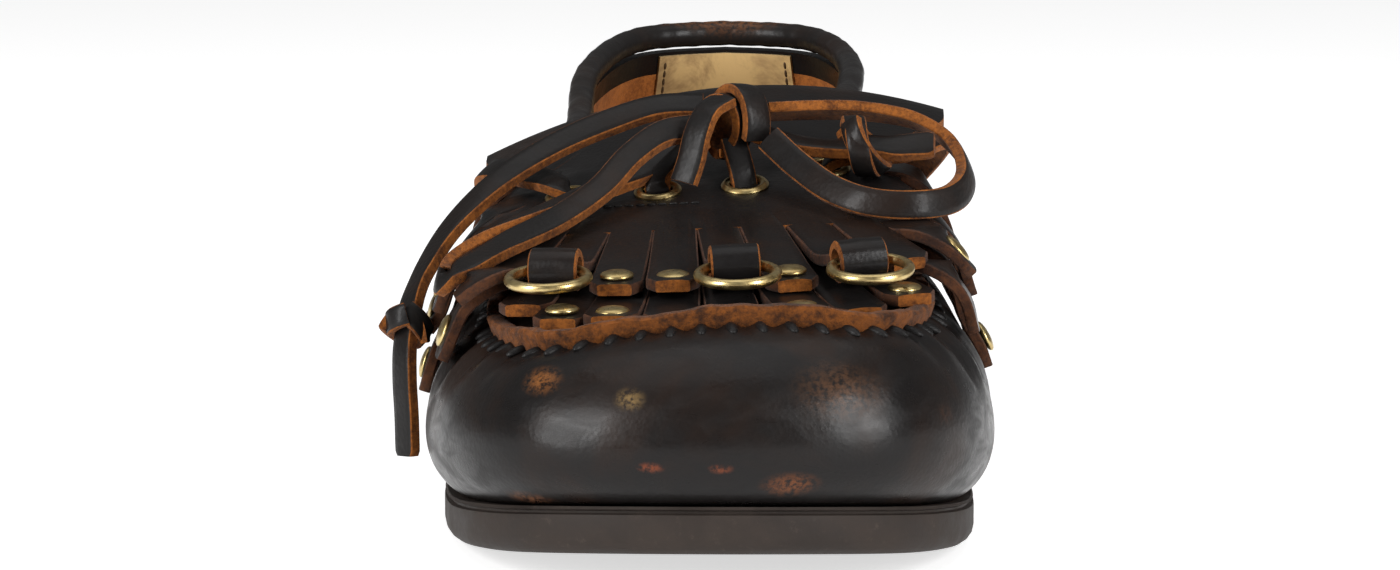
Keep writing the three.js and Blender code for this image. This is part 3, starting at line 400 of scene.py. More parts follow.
# %% [markdown]
# ### Sole rubber, foot bed, linings and thread
# The sole is a dull chocolate rubber with pale dust. The foot bed and the heel patch are tan
# leather with dark smudges. Thread is waxed: almost black outside, brown inside the heel.

# %% Sole, foot bed and thread
def sole_rubber():
    r = Recipe("sole_rubber", Specular_IOR_Level=0.2)
    patches = r.noise(12, 5, 0.65)
    tone = r.mix(r.band(patches, 0.3, 0.7), (0.017, 0.0122, 0.0098), (0.028, 0.0205, 0.0165))
    dust = r.math("MULTIPLY", r.band(r.noise(2.2, 5, 0.75), 0.55, 0.8), 0.13)
    r.colour(r.mix(dust, tone, (0.19, 0.14, 0.11)))
    r.roughness(r.band(patches, 0.3, 0.7, 0.55, 0.75))
    r.bump(r.noise(1.3, 4, 0.7), 0.12, 0.45)
    return r.material


def tan_leather(name, light, smudge):
    r = Recipe(name, Specular_IOR_Level=0.35, Sheen_Weight=0.1)
    patches = r.band(r.noise(13, 5, 0.7, warp=0.5), 0.42, 0.68)
    r.colour(r.mix(patches, light, smudge))
    r.roughness(r.band(r.noise(6, 3), 0.3, 0.7, 0.55, 0.8))
    r.bump(r.noise(0.7, 4, 0.7), 0.09, 0.6)
    return r.material


def waxed_thread(name, tone):
    r = Recipe(name, Coat_Weight=0.05, Coat_Roughness=0.3, Specular_IOR_Level=0.2)
    twist = r.noise(0.6, 2, 0.5, stretch=(1, 1, 3))
    r.colour(r.mix(r.band(twist, 0.3, 0.7), tone, tuple(0.45 * c for c in tone)))
    r.roughness(r.band(twist, 0.3, 0.7, 0.4, 0.65))
    r.bump(twist, 0.12, 0.8)
    return r.material


FACE, EDGE, FLESH, SLIT = range(4)  # a hide's finishes, in the order of its materials
lace_face = waxed_leather("lace_face", gloss=0.42, grain=0.7, dark=(0.0085, 0.0075, 0.0072))
raw_edge = raw_leather("raw_edge")
flesh_side = raw_leather("flesh_side", (0.2, 0.07, 0.018), (0.06, 0.02, 0.007), 0.2)
# darker copy of the raw edge on the strips' cut sides: painted shade in the slits between strips
shaded_slit_edge = raw_leather("shaded_slit_edge", (0.07, 0.026, 0.011), (0.02, 0.009, 0.006), 0.2)
fringe_leather = waxed_leather("fringe_leather", gloss=0.34)
brass_metal = brass("brass_metal")
print(len(bpy.data.materials), "materials")

# %% [markdown]
# ## Cords first
# The bow's two loops and two ends are free lace. A ribbon's section has a black face, brown
# edges with a small bevel, and a suede back. Each ribbon follows its route and turns with the
# normals of its rows.

# %% Ribbons
def ribbon(line, width, thick, crown=0.12, bevel=0.22, taper=None, side=EDGE):
    """A flat thong along a line of places and normals: black face, raw edges, suede back."""
    origin, across, _, normal = frames_of(line)
    w = np.broadcast_to(width / 2, len(line)) if taper is None else taper * width / 2
    t = thick / 2
    rows = [(-1, bevel, t), (-0.5, 0, t + crown), (0, 0, t + 1.3 * crown), (0.5, 0, t + crown)]
    rows += [(1, -bevel, t), (1, 0, t - bevel), (1, 0, bevel - t), (1, -bevel, -t)]
    rows += [(-1, bevel, -t), (-1, 0, bevel - t), (-1, 0, t - bevel)]
    finish = [FACE] * 4 + [side] * 3 + [FLESH] + [side] * 3
    points = [
        origin + across * (side * w + inset)[:, None] + normal * high for side, inset, high in rows
    ]
    return sweep(np.stack(points, 1), finish, caps=EDGE)


LACE_MATERIALS = [lace_face, raw_edge, flesh_side]

# %% [markdown]
# The rows below follow the CAD part's route, moved a few millimetres towards the photograph.
# Places are millimetres; the last three columns are the way the lace's face looks.

# %% Routes of the bow
LOOP_LATERAL = [
    (-3.5, -162.5, 72.6, -0.2, -0.9, 0.5),
    (-9, -166, 72, -0.2, -0.85, 0.5),
    (-15, -172, 68.4, -0.2, -0.8, 0.6),
    (-20.5, -179, 63, -0.2, -0.75, 0.65),
    (-28.5, -188, 58.2, -0.2, -0.75, 0.65),
    (-37, -198, 55, -0.3, -0.8, 0.6),
    (-44, -207.5, 51.8, -0.6, -0.7, 0.4),
    (-48.4, -209.5, 49.4, -1, -0.1, 0.2),
    (-48.6, -204.6, 50.6, -0.8, 0.5, 0.5),
    (-43.8, -197, 54.4, -0.4, 0.4, 0.8),
    (-36, -188.2, 57.6, -0.2, 0.1, 1),
    (-28, -178.5, 59.8, -0.2, -0.2, 1),
    (-19, -168.5, 62.4, -0.2, -0.6, 0.8),
    (-11, -162, 65.2, -0.2, -0.75, 0.65),
    (-5.5, -159, 68, -0.2, -0.8, 0.6),
    (-2.6, -157.6, 71, -0.2, -0.8, 0.6),
]
LOOP_MEDIAL = [
    (10.6, -156.4, 75.2, 0.1, 0.5, 0.9),
    (18.5, -155, 75.4, 0.1, 0.5, 0.9),
    (29, -154.8, 75.2, 0.2, 0.5, 0.9),
    (39.5, -156.5, 73.4, 0.5, 0.3, 0.8),
    (46.2, -162.5, 69.4, 1, -0.1, 0.4),
    (48.4, -171.5, 64.4, 0.8, -0.6, 0.1),
    (45.4, -180.5, 61.4, 0.4, -0.9, 0.1),
    (38.5, -185.6, 60.8, 0.1, -0.95, 0.2),
    (30, -185, 61.2, -0.1, -0.95, 0.3),
    (23.2, -180.8, 63, -0.2, -0.9, 0.35),
    (16.8, -173.5, 66.6, -0.2, -0.9, 0.35),
    (11.2, -165.6, 70.8, -0.2, -0.9, 0.35),
]
END_LATERAL = [
    (-1.9, -155, 76.2, -0.1, -0.6, 0.8),
    (-10.5, -154.4, 75.8, -0.15, -0.65, 0.75),
    (-20, -156, 73, -0.25, -0.75, 0.65),
    (-31, -160, 68.4, -0.4, -0.75, 0.55),
    (-41.4, -165.4, 62, -0.55, -0.7, 0.45),
    (-49.4, -171.6, 54.4, -0.7, -0.65, 0.3),
    (-54, -178, 47.4, -0.75, -0.65, 0.15),
    (-56.2, -183, 42.2, -0.75, -0.65, 0.1),
]
TIP_LATERAL = [
    (-57.4, -187.4, 33.6, -0.75, -0.65, 0),
    (-57.4, -188.6, 28, -0.75, -0.65, 0),
    (-57, -189.6, 21, -0.75, -0.65, 0),
    (-56.8, -190.2, 13.6, -0.75, -0.65, 0),
]
END_MEDIAL = [
    (5, -159, 72.6, 0.1, -0.3, 1),
    (10.5, -159.6, 70.8, 0.1, -0.3, 1),
    (17.5, -161.4, 69.2, 0.1, -0.3, 1),
    (24, -162.8, 68.8, 0, -0.3, 1),
]
TIP_MEDIAL = [
    (34.4, -163.8, 69, 0.1, -0.6, 0.8),
    (38.6, -164.4, 69.4, 0.1, -0.7, 0.7),
    (42.6, -165, 69.8, 0.2, -0.7, 0.6),
]
SMALL_KNOTS = {"lateral": (-57, -185.4, 37.6), "medial": (29, -163.6, 69.4)}

# %% [markdown]
# A knot in a flat thong is a few tight turns of the same ribbon. `turns_round` winds a ribbon
# round an axis, and sets how far round it goes and how much it leans.

# %% Turns of lace round an axis
def turns_round(centre, axis, up, radii, start, end, lean=0.0, count=28):
    """Rows of a ribbon wound from start to end degrees round an axis, leaning along it."""
    axis = unit(np.array(axis, float))
    side = unit(np.cross(np.array(up, float), axis))
    top = np.cross(axis, side)
    angle = np.radians(np.linspace(start, end, count))[:, None]
    ray = side * np.cos(angle) * radii[0] + top * np.sin(angle) * radii[1]
    out = side * np.cos(angle) / radii[0] + top * np.sin(angle) / radii[1]
    drift = axis * np.linspace(-0.5, 0.5, count)[:, None] * lean
    return np.column_stack([np.array(centre, float) + ray + drift, unit(out)])


KNOT_WIDTH = LACE_WIDTH * 0.8
KNOT_THICK = 1.5
KNOT_TURNS = {  # axis, up and size
    "lateral": ((0.1, -0.3, -1), (-1, -0.4, 0.1), 1.1),
    "medial": ((1, -0.1, 0), (0, -0.4, 1), 1.7),
}


def small_knot(side):
    """Two turns of lace that lean across each other."""
    centre = SMALL_KNOTS[side]
    axis, up, size = KNOT_TURNS[side]
    leaning = unit(np.array(axis, float) + 0.8 * np.array(up, float))
    rows = [
        turns_round(centre, axis, up, (3.3 * size, 2.9 * size), 20, 330, 3.2 * size),
        turns_round(centre, leaning, up, (2.9 * size, 3.4 * size), 100, 400, -2.4 * size),
    ]
    shapes = [ribbon(row, KNOT_WIDTH, KNOT_THICK) for row in rows]
    nodes = [f"lace_knot_{side}"]
    return make_piece(f"small_knot_{side}", shapes, LACE_MATERIALS, nodes)


small_knots = {side: small_knot(side) for side in SMALL_KNOTS}

# %% [markdown]
# Now the four free stretches themselves.

# %% The bow's loops and ends
def free_lace(name, rows, nodes, tip=False):
    line, length = smooth_line(rows, max(24, int(smooth_line(rows, 2)[1] / 0.9)))
    taper = np.ones(len(line))
    if tip:
        taper[-3:] = (1, 0.98, 0.8)
    piece = make_piece(name, [ribbon(line, LACE_WIDTH, LACE_THICK, taper=taper)],
                       LACE_MATERIALS, nodes)
    path = smooth_line(rows, 40)[0][:, :3] * MM
    print(name, round(length, 1), "mm long")


def through_knot(end, centre, tip):
    """The route from the bow through a small knot to the tip."""
    face = np.array(end[-1][3:]) + np.array(tip[0][3:])
    return [*end, (*centre, *face), *tip]


free_lace("loop_lateral", LOOP_LATERAL, ["bow_loop_lateral"])
free_lace("loop_medial", LOOP_MEDIAL, ["bow_loop_medial"])
free_lace("end_lateral", through_knot(END_LATERAL, SMALL_KNOTS["lateral"], TIP_LATERAL),
          ["lace_end_lateral", "lace_tip_lateral"], tip=True)
free_lace("end_medial", through_knot(END_MEDIAL, SMALL_KNOTS["medial"], TIP_MEDIAL),
          ["lace_end_medial", "lace_tip_medial"], tip=True)

# %% [markdown]
# ## The shoe's own surfaces
# Everything else lies on three surfaces: the sole's outline, the moccasin wall and the
# forepart's top. `turn` runs round the outline from the heel (0) along the outer side to the
# toe (8) and home along the inner side (16).

# %% Outline and sole heights
side_share = curve(
    range(-1, 18),
    [0.255, 0, -0.255, -0.367, -0.378, -0.434, -0.51, -0.475, -0.325, 0,
     0.345, 0.49, 0.485, 0.378, 0.337, 0.352, 0.255, 0, -0.255],
)


def plan(turn, inset):
    """x, distance from the toe and the outward direction, inset from the outline."""
    turn = np.mod(turn, TURNS)
    step = 0.02
    far = lambda t: SOLE_LENGTH * (1 + np.cos(2 * np.pi * t / TURNS)) / 2
    dx = (side_share(turn + step) - side_share(turn - step)) * SOLE_WIDTH
    dq = far(turn + step) - far(turn - step)
    size = np.hypot(dx, dq)
    out_x, out_q = dq / size, -dx / size
    return side_share(turn) * SOLE_WIDTH - out_x * inset, far(turn) - out_q * inset, out_x, out_q


bed_back = [0, 0.075, 0.18, 0.3, 0.43, 0.59, 0.72, 0.86, 1]
bed_toe = curve(bed_back, [1, 0.55, 0.1, 0, 0, 0, 0, 0, 0])
bed_seat = curve(bed_back, [0, 0, 0, 0.05, 0.2, 0.58, 0.88, 1, 1.03])
tread_back = [0, 0.075, 0.17, 0.25, 0.43, 0.5, 0.6, 0.7, 0.78]
tread_toe = curve(tread_back, [1, 0.55, 0.12, 0, 0, 0, 0, 0, 0])
tread_arch = curve(tread_back, [0, 0, 0, 0, 0, 0.2, 0.7, 1, 1])


def bed_height(q):
    back = q / SOLE_LENGTH
    return SOLE_THICK + TOE_SPRING * bed_toe(back) + (HEEL_SEAT - SOLE_THICK) * bed_seat(back)


def tread_height(q):
    back = q / SOLE_LENGTH
    lift = np.maximum(0, TOE_SPRING * tread_toe(back)) + np.maximum(0, ARCH_RISE * tread_arch(back))
    return np.where(SOLE_LENGTH - q <= HEEL_BREAST, 0, lift)


outline = plan(np.linspace(0, TURNS, 400), 0)
print("outline", [round(float(np.ptp(column)), 1) for column in outline[:2]], "mm")

# %% [markdown]
# ### The forepart's top
# Over the toes the shoe is a ridge that rises towards the instep, tilts to the inner side and
# falls away at both sides. Apron and tiers follow the same ridge, each with its own crown.

# %% The forepart's top
fore_back = [0.068, 0.154, 0.223, 0.274, 0.336, 0.394, 0.462, 0.52]
ridge_share = curve(fore_back, [0, 0.06, 0.19, 0.32, 0.51, 0.71, 1, 1.12])
tilt_share = curve(fore_back, [0.03, 0.03, 0.04, 0.05, 0.065, 0.08, 0.105, 0.105])
crowns = {
    "apron": curve(fore_back, [0.02, 0.037, 0.056, 0.077, 0.1, 0.128, 0.163, 0.184]),
    "under": curve(fore_back, [0, 0.004, 0.022, 0.04, 0.062, 0.082, 0.11, 0.135]),
    "top": curve(fore_back, [0, 0, 0, 0.01, 0.03, 0.055, 0.082, 0.096]),
}
CROWN_HALF = SOLE_WIDTH * 0.44


def forepart(layer, x, q, lift):
    back = q / SOLE_LENGTH
    ridge = TOE_HEIGHT + (INSTEP_HEIGHT - TOE_HEIGHT) * ridge_share(back)
    fall = SOLE_WIDTH * crowns[layer](back) * (x / CROWN_HALF) ** 2
    return ridge + lift + tilt_share(back) * x - fall


def on_layer(layer, x, q, lift):
    """Place and normal on a layer of the forepart, as one row each."""
    x, q = np.broadcast_arrays(np.array(x, float), np.array(q, float))
    at = lambda dx, dq: point(x + dx, q + dq, forepart(layer, x + dx, q + dq, lift))
    normal = unit(np.cross(at(0.5, 0) - at(-0.5, 0), at(0, 0.5) - at(0, -0.5)))
    return np.concatenate([at(0, 0), normal], -1)


print("ridge at the flap's fold", round(float(forepart("top", 0, FLAP_FOLD, 0)), 1), "mm high")

# %% [markdown]
# ### The moccasin wall
# From the sole up, the wall is one cubic curve at each place of the outline: it bulges out low
# down and leans in to its rim. The table's lists run from heel to toe and hold shares of the
# sole's width or of the back's height. Round the toe the rim follows the apron's edge.

# %% The moccasin wall
rim_turn = [0, 1, 2, 3, 4, 5, 6, 7, 7.5, 8]
wall_table = {
    "inset": [0.05, 0.052, 0.054, 0.062, 0.12, 0.118, 0.085, 0.108, 0.152, 0.168],
    "rim_out": [1, 0.985, 0.92, 0.83, 0.775, 0.7, 0.6, 0.6, 0.6, 0.6],
    "rim_in": [1, 0.99, 0.94, 0.86, 0.8, 0.72, 0.6, 0.6, 0.6, 0.6],
    "low_out": [0.08, 0.08, 0.07, 0.06, 0.07, 0.115, 0.13, 0.135, 0.14, 0.14],
    "low_up": [0.14, 0.14, 0.14, 0.13, 0.12, 0.085, 0.085, 0.09, 0.1, 0.1],
    "high_out": [0.03, 0.03, 0.03, 0.05, 0.09, 0.1, 0.09, 0.12, 0.13, 0.14],
    "high_up": [0.16, 0.16, 0.16, 0.15, 0.12, 0.03, 0.02, 0.01, 0.01, 0.01],
}
wall_share = {name: curve(rim_turn, column) for name, column in wall_table.items()}


def from_heel(turn):
    turn = np.mod(turn, TURNS)
    return np.minimum(turn, TURNS - turn)


SEAM_COVER = 1.1  # how far the hide stands up in front of the lip
TOE_RISE = 4
TOE_RISE_MIDDLE = 8
TOE_RISE_HALF = 38
TOE_RISE_FADE = (40, 72)  # from the toe


def toe_rise(x, q):
    """The toe's seam stands a little higher in the middle than at its corners."""
    across = np.clip(1 - ((x - TOE_RISE_MIDDLE) / TOE_RISE_HALF) ** 2, 0, 1)
    return TOE_RISE * across * (1 - smoothstep(q, *TOE_RISE_FADE))


def rim(turn):
    """Where the wall's outer face ends: x, from toe, z and the outward direction."""
    t = from_heel(turn)
    x, q, out_x, out_q = plan(turn, wall_share["inset"](t) * SOLE_WIDTH)
    seam = forepart("apron", x, q, toe_rise(x, q) + SEAM_COVER - APRON_THICK - GAP)
    outer = np.mod(turn, TURNS) < TURNS / 2
    height = BACK_HEIGHT * np.where(outer, wall_share["rim_out"](t), wall_share["rim_in"](t))
    share = smoothstep(q, APRON_END + 1, APRON_END + 34)
    return x, q, seam + (height - seam) * share, out_x, out_q


def wall(turn, up):
    """Outer face of the wall, from the sole (up 0) to the rim (up 1)."""
    turn, up = np.broadcast_arrays(np.array(turn, float), np.array(up, float))
    t = from_heel(turn)
    x, q, out_x, out_q = plan(turn, WALL_SET_IN)
    low, top = bed_height(q) + GAP, rim(turn)[2]
    share = {name: read(t) * SOLE_WIDTH for name, read in wall_share.items()}
    inset = share["inset"] - WALL_SET_IN
    u = 1 - up
    b = (u**3, 3 * u * u * up, 3 * u * up * up, up**3)
    out = b[1] * share["low_out"] + b[2] * (share["high_out"] - inset) - b[3] * inset
    z = b[0] * low + b[1] * (low + share["low_up"]) + b[2] * (top - share["high_up"]) + b[3] * top
    return point(x + out_x * out, q + out_q * out, z)


def wall_normal(turn, up):
    s = 0.02
    a = wall(turn + s, up) - wall(turn - s, up)
    b = wall(turn, np.minimum(up + s, 1)) - wall(turn, np.maximum(up - s, 0))
    return unit(np.cross(a, b))


def on_wall(turn, up, height):
    normal = wall_normal(turn, up)
    return np.concatenate([wall(turn, up) + normal * height, normal], -1)


turns = np.linspace(4, 8, 2000)
SEAM_TURN = float(turns[np.argmax(rim(turns)[1] <= APRON_END)])
print("apron seam starts at turn", round(SEAM_TURN, 2))

# %% [markdown]
# ## Outsole
# A moulded unit with a rounded lower edge, a shallow rib and a thin joint below the upper. Its
# section runs from the middle line of the tread out to the side, up, and back in under the
# upper, and is carried once round the outline.

# %% Outsole
def round_plate(low, high, inset, side_rows, middle=(1, 0.75, 0.5, 0.3, 0.15), steps=420):
    """A plate closed round the outline. side_rows are (inset, from low 0 to high 1, extra up)."""
    breast = np.arccos(2 * (1 - HEEL_BREAST / SOLE_LENGTH) - 1) * TURNS / (2 * np.pi)
    turn = np.r_[np.linspace(0, TURNS, steps, endpoint=False), breast - 0.012, breast + 0.012]
    turn = np.sort(np.r_[turn, TURNS - turn[-2:]])
    rows = []

    def toward_middle(share, edge, height):
        x, q, _, _ = plan(turn, inset + edge)
        other = plan(TURNS - turn, inset + edge)[0]
        return point(x + (other - x) * share / 2, q, height(q))

    rows += [toward_middle(share, side_rows[0][0], low) for share in middle]
    for edge, share, extra in side_rows:
        x, q, _, _ = plan(turn, inset + edge)
        rows.append(point(x, q, low(q) + (high(q) - low(q)) * share + extra))
    rows += [toward_middle(share, side_rows[-1][0], high) for share in middle[::-1]]
    return np.stack(rows, 1)


edge = SOLE_EDGE
sole_side = [
    (edge, 0, 0), (edge * 0.62, 0, edge * 0.08), (edge * 0.3, 0, edge * 0.3),
    (edge * 0.08, 0, edge * 0.62), (0, 0, edge), (0, 0.45, 1.2), (0, 0.8, -0.4),
    (0.1, 1, -1.5), (0.9, 1, -1.2), (0.9, 1, -0.8), (0.15, 1, -0.5), (0.5, 1, 0), (2.5, 1, 0),
]
rows = round_plate(tread_height, bed_height, 0, sole_side)
sole_shape = sweep(rows, along=True, around=False)
make_piece("outsole_moulded", [sole_shape], [sole_rubber()], ["outsole"], sharp=55)

# %% [markdown]
# ### Foot bed
# The foot rests on a thin tan sock. It is the same kind of plate, set in by the wall's leather
# and laid on the sole.

# %% Foot bed
INSOLE_INSET = WALL_SET_IN + LEATHER + GAP + 0.6
foot_tan = tan_leather("foot_tan", (0.33, 0.22, 0.11), (0.12, 0.07, 0.035))
bed_side = [(0.8, 0, 0), (0, 0, 0.8), (0, 0.7, 0), (0.5, 1, -0.2), (1.4, 1, 0)]
rows = round_plate(lambda q: bed_height(q) + GAP, lambda q: bed_height(q) + GAP + INSOLE_THICK,
                   INSOLE_INSET, bed_side, steps=240)
make_piece("foot_bed", [sweep(rows, along=True, around=False)], [foot_tan], ["insole"])

# %% [markdown]
# ## Moccasin wall
# One hide wraps up from the sole. Its folds are listed one by one: each row of `FOLDS` is a soft
# trough or ridge with a place, a lean, a width and a depth. Along the hand-sewn seam the hide
# is gathered a little between the stitches.

# %% Folds of the wall
STITCH_PITCH = 5.1
GATHER = 0.5
seam_turns = np.linspace(SEAM_TURN, TURNS - SEAM_TURN, 1200)
seam_rim = rim(seam_turns)
seam_run = np.r_[0, np.cumsum(np.hypot(np.diff(seam_rim[0]), np.diff(seam_rim[1])))]
seam_at = lambda turn: np.interp(turn, seam_turns, seam_run)

FOLDS = [  # turn at the rim, lean, width in turns, lowest and highest up, depth in mm
    (5.62, -0.35, 0.05, 0.35, 0.98, -0.9),
    (5.75, -0.3, 0.055, 0.4, 1.0, 0.7),
    (5.9, -0.22, 0.05, 0.5, 1.0, -0.9),
    (6.05, -0.15, 0.055, 0.45, 1.0, 0.7),
    (6.2, -0.1, 0.05, 0.55, 1.0, -0.8),
    (6.38, 0.0, 0.06, 0.6, 1.0, 0.45),
    (6.55, 0.05, 0.05, 0.62, 1.0, -0.5),
    (9.45, 0.0, 0.06, 0.62, 1.0, -0.5),
    (9.62, 0.05, 0.06, 0.6, 1.0, 0.45),
    (9.8, 0.12, 0.05, 0.5, 1.0, -0.8),
    (9.95, 0.18, 0.055, 0.45, 1.0, 0.7),
    (10.1, 0.25, 0.05, 0.45, 1.0, -0.9),
    (10.28, 0.3, 0.055, 0.38, 1.0, 0.6),
    (10.45, 0.35, 0.05, 0.35, 0.98, -0.8),
    (4.9, -0.5, 0.1, 0.15, 0.85, -1.0),
    (4.6, -0.45, 0.1, 0.2, 0.85, 0.8),
    (4.35, -0.4, 0.09, 0.25, 0.8, -0.8),
    (11.15, 0.5, 0.1, 0.15, 0.85, -1.0),
    (11.45, 0.45, 0.1, 0.2, 0.85, 0.8),
    (11.7, 0.4, 0.09, 0.25, 0.8, -0.7),
    (1.6, 0.3, 0.1, 0.1, 0.7, -0.5),
    (14.4, -0.3, 0.1, 0.1, 0.7, -0.5),
    (7.2, 0.5, 0.16, 0.2, 0.75, -0.35),
    (8.9, -0.4, 0.14, 0.2, 0.75, -0.35),
]


def fold_height(turn, up):
    turn, up = np.broadcast_arrays(np.mod(turn, TURNS), up)
    height = np.zeros(turn.shape)
    for at, lean, width, low, high, depth in FOLDS:
        middle = at + lean * (high - up)
        window = smoothstep(up, low, low + 0.22) * (1 - 0.6 * smoothstep(up, high, 1.05))
        height += depth * np.exp(-(((turn - middle) / width) ** 2)) * window
    gathered = np.cos(2 * np.pi * seam_at(turn) / STITCH_PITCH)
    last = TURNS - SEAM_TURN
    sewn = smoothstep(turn, SEAM_TURN, SEAM_TURN + 0.1) * smoothstep(-turn, -last, 0.1 - last)
    height += -GATHER * gathered * sewn * smoothstep(up, 0.86, 0.99)
    return height * smoothstep(up, 0.02, 0.2)


print(len(FOLDS), "folds along", round(float(seam_run[-1])), "mm of seam")


# %% [markdown]
# The toe's rubs are placed where the photograph shows them: an orange nick high on the outer
# side, a gold speckle and red-brown marks low on the front. A warm highlight on the inner
# side is painted in among them as one more spot of colour.

# %% Upper
TOE_RUBS_AND_HIGHLIGHT = [  # place, radii, colour, strength
    ((-28.9, -248.6, 37.5), (5, 6, 3.4), (0.24, 0.09, 0.025), 0.7),
    ((-13, -257.8, 35.5), (3.6, 5, 2.6), (0.24, 0.15, 0.055), 0.6),
    ((-9.1, -260, 23.9), (3.0, 4, 1.3), (0.17, 0.04, 0.014), 0.85),
    ((3.1, -260.4, 23.8), (2.8, 4, 1.2), (0.16, 0.04, 0.014), 0.8),
    ((15, -257.4, 20.6), (6.5, 6, 3), (0.2, 0.062, 0.016), 0.6),
    # painted warm highlight on the inner side, not a rub
    ((24, -253.5, 36.5), (11, 9, 7), (0.09, 0.042, 0.02), 0.6),
    ((-30.4, -246.5, 16), (7, 6, 2), (0.14, 0.06, 0.03), 0.8),
    ((41, -241, 30), (4, 4, 3), (0.07, 0.03, 0.014), 0.5),
]
upper_leather = waxed_leather("upper_leather", TOE_RUBS_AND_HIGHLIGHT, gloss=0.33, grain=0.45)
lining = raw_leather("lining_suede", (0.42, 0.14, 0.03), (0.2, 0.062, 0.014), 0.16, 0.7)

OUTER_ROWS, INNER_ROWS = 37, 11
turn = np.linspace(0, TURNS, 560, endpoint=False)[:, None]
up = np.linspace(0, 1, OUTER_ROWS)[None, :]
outer = wall(turn, up) + wall_normal(turn, up) * fold_height(turn, up)[..., None]
deep = np.linspace(1, 0, INNER_ROWS)[None, :]
inner = wall(turn, deep) - wall_normal(turn, deep) * LEATHER
inner[:, -1, 2] = outer[:, 0, 2]
finish = [0] * (OUTER_ROWS + 1) + [1] * (INNER_ROWS - 1)  # black over the rim, then lining
make_piece("upper_wall", [sweep(np.concatenate([outer, inner], 1), finish, along=True)],
           [upper_leather, lining], ["upper"], sharp=60)

# %% [markdown]
# ## Collar and linings
# The collar is a thin leather tube stuffed with cord. Its black has been rubbed to brown along
# the top of the heel.

# %% Collar
COLLAR_START = 4.15
COLLAR_RUBS = [
    ((2, 30, 77), (26, 9, 6), (0.2, 0.075, 0.025), 0.95),
    ((-14, 27, 77), (9, 6, 3), (0.17, 0.06, 0.02), 0.8),
    ((16, 27, 77), (9, 6, 3), (0.15, 0.055, 0.02), 0.7),
]
COLLAR_BLACK = (0.013, 0.0115, 0.011)
collar_leather = waxed_leather("collar_leather", COLLAR_RUBS, 0.38, 0.6, COLLAR_BLACK)


def collar_rings(count=260, points=20):
    turn = np.linspace(COLLAR_START, -COLLAR_START, count)
    x, q, z, out_x, out_q = rim(turn)
    line = point(x, q, z)
    along = unit(np.gradient(line, axis=0))
    inward = np.stack([-out_x, -out_q, 0 * out_x], 1)
    up = unit(np.cross(along, inward))
    up *= np.sign(up[:, 2:3])
    radius = COLLAR_ROLL / 2
    centre = line + inward * LEATHER / 2 + up * (radius + GAP + 0.1)
    ends = np.minimum(1, 0.5 + 0.5 * np.minimum(np.arange(count), np.arange(count)[::-1]) / 4)
    ripple = 1 + 0.018 * np.sin(turn * 23) + 0.012 * np.sin(turn * 41 + 1)
    size = (radius * ends * ripple)[:, None]
    angle = np.linspace(0, 2 * np.pi, points, endpoint=False)
    return np.stack([centre + inward * np.cos(a) * size + up * np.sin(a) * size for a in angle], 1)


collar_shape = sweep(collar_rings(), caps=0)
make_piece("collar_roll", [collar_shape], [collar_leather], ["collar"])

# %% [markdown]
# ### Heel patch
# Inside the heel sits a tan patch. It follows the wall's inner face, a little in front of it.

# %% Heel patch
patch_tan = tan_leather("patch_tan", (0.6, 0.4, 0.165), (0.27, 0.16, 0.065))
PATCH_HALF = 0.72
patch_turn = np.linspace(-PATCH_HALF, PATCH_HALF, 60)[:, None]
patch_up = np.linspace(0.12, 0.985, 24)[None, :]
base, out = wall(patch_turn, patch_up), wall_normal(patch_turn, patch_up)
face = base - out * (LEATHER + 0.75)
back = (base - out * (LEATHER + 0.1))[:, ::-1]
patch_shape = sweep(np.concatenate([face, back], 1), caps=0)
make_piece("heel_patch", [patch_shape], [patch_tan])

# %% [markdown]
# ## Apron with its raw lip
# The apron is the plate over the toes. Its front and sides are turned up and cut raw, so the
# lip shows a band of brown suede. The lip's top is a little uneven, as a knife leaves it.

# %% Apron
def sheet(top, low):
    """A plate between two grids of rows, with its own finish on face, edges and back."""
    n = top.shape[1]
    finish = [FACE] * (n - 1) + [EDGE] + [FLESH] * (n - 1) + [EDGE]
    return sweep(np.concatenate([top, low[:, ::-1]], 1), finish, caps=EDGE)


def apron_plate(count=70, points=26):
    turn = np.linspace(7.96, SEAM_TURN, count)[:, None]
    share = np.linspace(0.015, 0.985, points)[None, :]
    ax, aq = rim(turn)[:2]
    bx, bq = rim(TURNS - turn)[:2]
    x, q = ax + (bx - ax) * share, aq + (bq - aq) * share
    top, low = (point(x, q, forepart("apron", x, q, lift)) for lift in (0, -APRON_THICK))
    return sheet(top, low)


LIP_LEAN = 1.2
LIP_TOP = LIP_RISE - 0.9
LIP_ROWS = [  # out, up, share of the unevenness
    (-LIP_THICK, -3, 0), (0.2, -2.4, 0), (0.75, -0.6, 0), (LIP_LEAN, 0.9, 0.4),
    (LIP_LEAN + 0.1, LIP_TOP - 0.7, 0.8), (LIP_LEAN - 0.25, LIP_TOP - 0.15, 1),
    (LIP_LEAN - 0.9, LIP_TOP, 1), (LIP_LEAN - LIP_THICK + 0.9, LIP_TOP, 1),
    (LIP_LEAN - LIP_THICK + 0.2, LIP_TOP - 0.3, 0.8), (LIP_LEAN - LIP_THICK, LIP_TOP - 0.9, 0.3),
]


def lip(count=420):
    turn = np.linspace(SEAM_TURN, TURNS - SEAM_TURN, count)
    x, q, _, out_x, out_q = rim(turn)
    z = forepart("apron", x, q, toe_rise(x, q))
    run = seam_at(turn)
    uneven = 0.3 * np.sin(run / 7.3 + 1) + 0.2 * np.sin(run / 2.9) + 0.1 * np.sin(run / 1.1 + 2)
    pulled = -0.12 * np.cos(2 * np.pi * run / STITCH_PITCH)
    rows = []
    for out, up, share in LIP_ROWS:
        reach = out + pulled * share
        rows.append(point(x + out_x * reach, q + out_q * reach, z + up + uneven * share))
    return sweep(np.stack(rows, 1), 1, caps=1)


